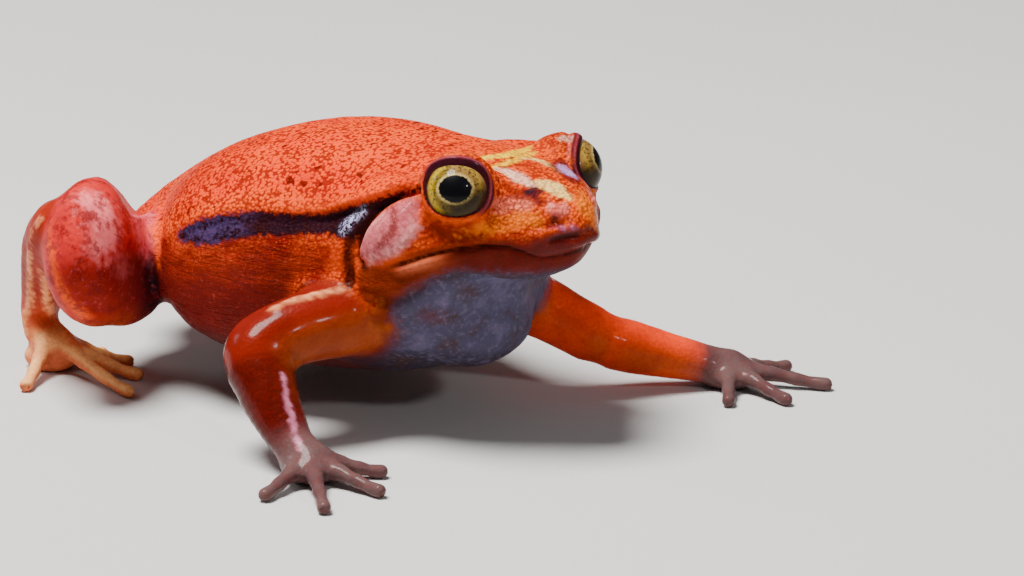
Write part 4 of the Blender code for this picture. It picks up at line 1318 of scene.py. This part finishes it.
# The dark stripe with its painted blue glint, the painted shade in the creases, and the lids
def markedColour(finish, place, colour, masks, patterns):
    between = finish.between
    speckle, patches = patterns["speckle"], patterns["patches"]
    stripe = between(masks["stripe"] + (speckle - 0.5) * 1.7 + (patterns["fine"] - 0.5), -0.55, 0.45)
    blue = between(speckle * 0.5 + patches * 0.5, 0.40, 0.58) * masks["stripeBlue"]
    ink = finish.mix(blue, skinTints["stripeInk"], skinTints["stripeBlue"])
    colour = finish.mix(stripe * 0.97, colour, ink)
    glint = masks["blueGlint"] * between(finish.noise(place, 1.6, 2.0, 0.6, 1.5), 0.42, 0.60)
    colour = finish.mix(glint * 0.9, colour, skinTints["glint"])
    crease = between(masks["crease"] + (speckle - 0.5) * 0.12, 0.10, 0.90)
    colour = finish.mix(crease * 0.93, colour, skinTints["crease"])
    lid = between(masks["lid"] + (speckle - 0.5) * 0.35, 0.25, 0.75)
    return finish.mix(lid * 0.95, colour, skinTints["lid"])


def skinFinish():
    finish = Finish("frogSkin")
    place = finish.millimetres()
    masks = {name: finish.attribute(name) for name in skinMasks}
    patterns = {
        "speckle": finish.noise(place, 1.25, 3.0, 0.62), "fine": finish.noise(place, 2.6, 2.0, 0.6),
        "patches": finish.noise(place, 0.38, 3.0, 0.6), "cloud": finish.noise(place, 0.22, 3.0, 0.6),
        "granules": finish.cells(place, 1.8),
    }
    patterns["smudges"] = patterns["patches"] + (patterns["speckle"] - 0.5) * 0.8
    colour = backColour(finish, place, masks, patterns)
    for mask, pattern, start, full, strength, tint in skinPatches:
        share = masks[mask] * finish.between(patterns[pattern], start, full) * strength
        colour = finish.mix(share, colour, tint)
    colour = markedColour(finish, place, colour, masks, patterns)
    # granules, the folds of the flank and a fine grain
    lumps = patterns["granules"] * (-0.25 - masks["grain"]) * (1 - masks["mottle"] * 0.8)
    folds = finish.noise(finish.stretched(place, (0.32, 0.45, 1.5)), 1.0, 3.0, 0.62, 0.6) * masks["flank"]
    relief = finish.bump(folds, 1.0, 0.75, finish.bump(lumps, 1.0, 0.20))
    roughness = 0.55 - masks["wet"] * 0.22 + (patterns["speckle"] - 0.5) * 0.16
    finish.set(Base_Color=colour, Roughness=roughness, Coat_Weight=masks["wet"] * 0.6)
    finish.set(Normal=finish.bump(patterns["fine"], 0.6, 0.06, relief), **skinSurface)
    return finish.material


skin.data.materials.clear()
skin.data.materials.append(skinFinish())
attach(skin, "root")
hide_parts(*fleshNodes)


# The eyeballs
eyeForm = {"radius": 4.7, "around": 96, "rows": 60, "pupilWide": 2.25, "pupilHigh": 1.88, "iris": 4.25}
eyeTones = {
    # from the middle of the iris to its dark rim
    "iris": [
        (0.0, (0.30, 0.20, 0.04)), (0.52, (0.150, 0.092, 0.005)), (0.72, (0.18, 0.108, 0.004)),
        (0.84, (0.46, 0.31, 0.010)), (0.92, (0.33, 0.19, 0.010)), (0.97, (0.050, 0.018, 0.005)),
        (1.0, (0.010, 0.004, 0.003)),
    ],
    "tan": (0.30, 0.155, 0.050), "shade": (0.014, 0.006, 0.003), "fleck": (0.030, 0.018, 0.003),
    "ring": (0.46, 0.34, 0.12), "pupil": (0.002, 0.002, 0.003), "back": (0.012, 0.005, 0.004),
}


def makeEye(name, eye):
    bm = bmesh.new()
    across, rows, radius = eyeForm["around"], eyeForm["rows"], eyeForm["radius"]
    bmesh.ops.create_uvsphere(bm, u_segments=across, v_segments=rows, radius=radius)
    mesh = bpy.data.meshes.new(name)
    bm.to_mesh(mesh)
    bm.free()
    local = np.array([vert.co for vert in mesh.vertices])
    gaze, up, ahead = eyeFrame(eye)
    placed = local @ np.column_stack([ahead, np.cross(gaze, ahead), gaze]).T
    setPoints(mesh, placed + np.array(eye["centre"]))
    layer = mesh.attributes.new("eyePlace", "FLOAT_VECTOR", "POINT")
    spots = np.column_stack([placed @ ahead, placed @ up, placed @ gaze])
    layer.data.foreach_set("vector", spots.astype(np.float32).ravel())
    mesh.shade_smooth()
    return meshObject(name, mesh)


def eyeFinish():
    finish = Finish("frogEye")
    between = finish.between
    place = finish.attribute("eyePlace", "Vector")
    axes = [finish.node("ShaderNodeSeparateXYZ", None, {0: place}, output=index) for index in range(3)]
    front, high, deep = axes
    flecks = finish.noise(place, 2.4, 3.0, 0.6)
    coarse = finish.noise(place, 0.9, 2.0, 0.6) - 0.5
    outward = (front * front + high * high) ** 0.5
    oval = (front / eyeForm["pupilWide"]) ** 2.0 + (high / eyeForm["pupilHigh"]) ** 2.0
    pupil = oval ** 0.5 + (flecks - 0.5) * 0.22
    iris = outward / eyeForm["iris"] + coarse * 0.03
    colour = finish.node("ShaderNodeValToRGB", {"stops": eyeTones["iris"]}, {"Fac": iris})
    tan = between(front * 0.7 + high * 0.7 + coarse * 1.5, 0.3, 2.4)
    colour = finish.mix(tan * 0.6, colour, eyeTones["tan"])
    shade = between(front * 0.50 - high * 0.86 + coarse * 1.8, 0.3, 2.7)
    colour = finish.mix(shade * 0.95, colour, eyeTones["shade"])
    dark = between(flecks, 0.50, 0.60) * between(outward, 4.05, 3.5)
    colour = finish.mix(dark * 0.80, colour, eyeTones["fleck"])
    ring = between(pupil, 1.30, 1.12) * (0.35 + between(flecks, 0.42, 0.54) * 0.65)
    colour = finish.mix(ring * (1.0 - shade * 0.7), colour, eyeTones["ring"])
    colour = finish.mix(between(pupil, 1.08, 0.98), colour, eyeTones["pupil"])
    colour = finish.mix(1 - between(deep, 0.6, 1.4), colour, eyeTones["back"])
    finish.set(Base_Color=colour, Roughness=0.35 + flecks * 0.15)
    finish.set(Specular_IOR_Level=0.05, Coat_Weight=0.6, Coat_Roughness=0.02, Coat_IOR=1.22)
    return finish.material


eyeMaterial = eyeFinish()
for name, eye in eyes.items():
    ball = makeEye(f"eyeball_{name}", eye)
    ball.data.materials.append(eyeMaterial)
    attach(ball, "root")
    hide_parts(f"eye_{name}")
print("eyes made")


# Floor and light
studio = {
    # metres for the floor, and shades of the floor and the world
    "floorSize": 8.0, "floor": (0.66, 0.66, 0.65), "floorShade": (0.61, 0.61, 0.60),
    "world": (0.95, 0.97, 1.0), "worldStrength": 0.11,
    # place and size in metres, power in watts, colour
    "lights": {
        "key": ((-0.12, -0.22, 0.86), 0.38, 20.0, (1.0, 0.98, 0.95)),
        "rear": ((-0.66, -0.30, 0.42), 0.24, 0.9, (0.96, 0.98, 1.0)),
        "side": ((0.74, -0.12, 0.46), 0.08, 1.2, (1.0, 1.0, 1.0)),
    },
}


def makeFloor():
    bm = bmesh.new()
    bmesh.ops.create_grid(bm, x_segments=1, y_segments=1, size=studio["floorSize"] / 2)
    mesh = bpy.data.meshes.new("floor")
    bm.to_mesh(mesh)
    bm.free()
    floor = meshObject("floor", mesh)
    finish = Finish("paleFloor")
    cloud = finish.noise(finish.node("ShaderNodeTexCoord", output="Object"), 6.0)
    finish.set(Base_Color=finish.mix(cloud, studio["floor"], studio["floorShade"]), Roughness=0.8)
    mesh.materials.append(finish.material)


def makeLights():
    for name, (place, size, power, colour) in studio["lights"].items():
        data = bpy.data.lights.new(name, "AREA")
        data.shape = "DISK"
        data.size = size
        data.energy = power
        data.color = colour
        lamp = bpy.data.objects.new(name, data)
        bpy.context.scene.collection.objects.link(lamp)
        lamp.location = place
        lamp.rotation_mode = "QUATERNION"
        lamp.rotation_quaternion = Vector(place).to_track_quat("Z", "Y")
    world = bpy.data.worlds.new("studio")
    world.use_nodes = True
    background = world.node_tree.nodes["Background"]
    background.inputs["Color"].default_value = (*studio["world"], 1.0)
    background.inputs["Strength"].default_value = studio["worldStrength"]
    bpy.context.scene.world = world


makeFloor()
makeLights()
print("studio made")

bpy.context.view_layer.update()
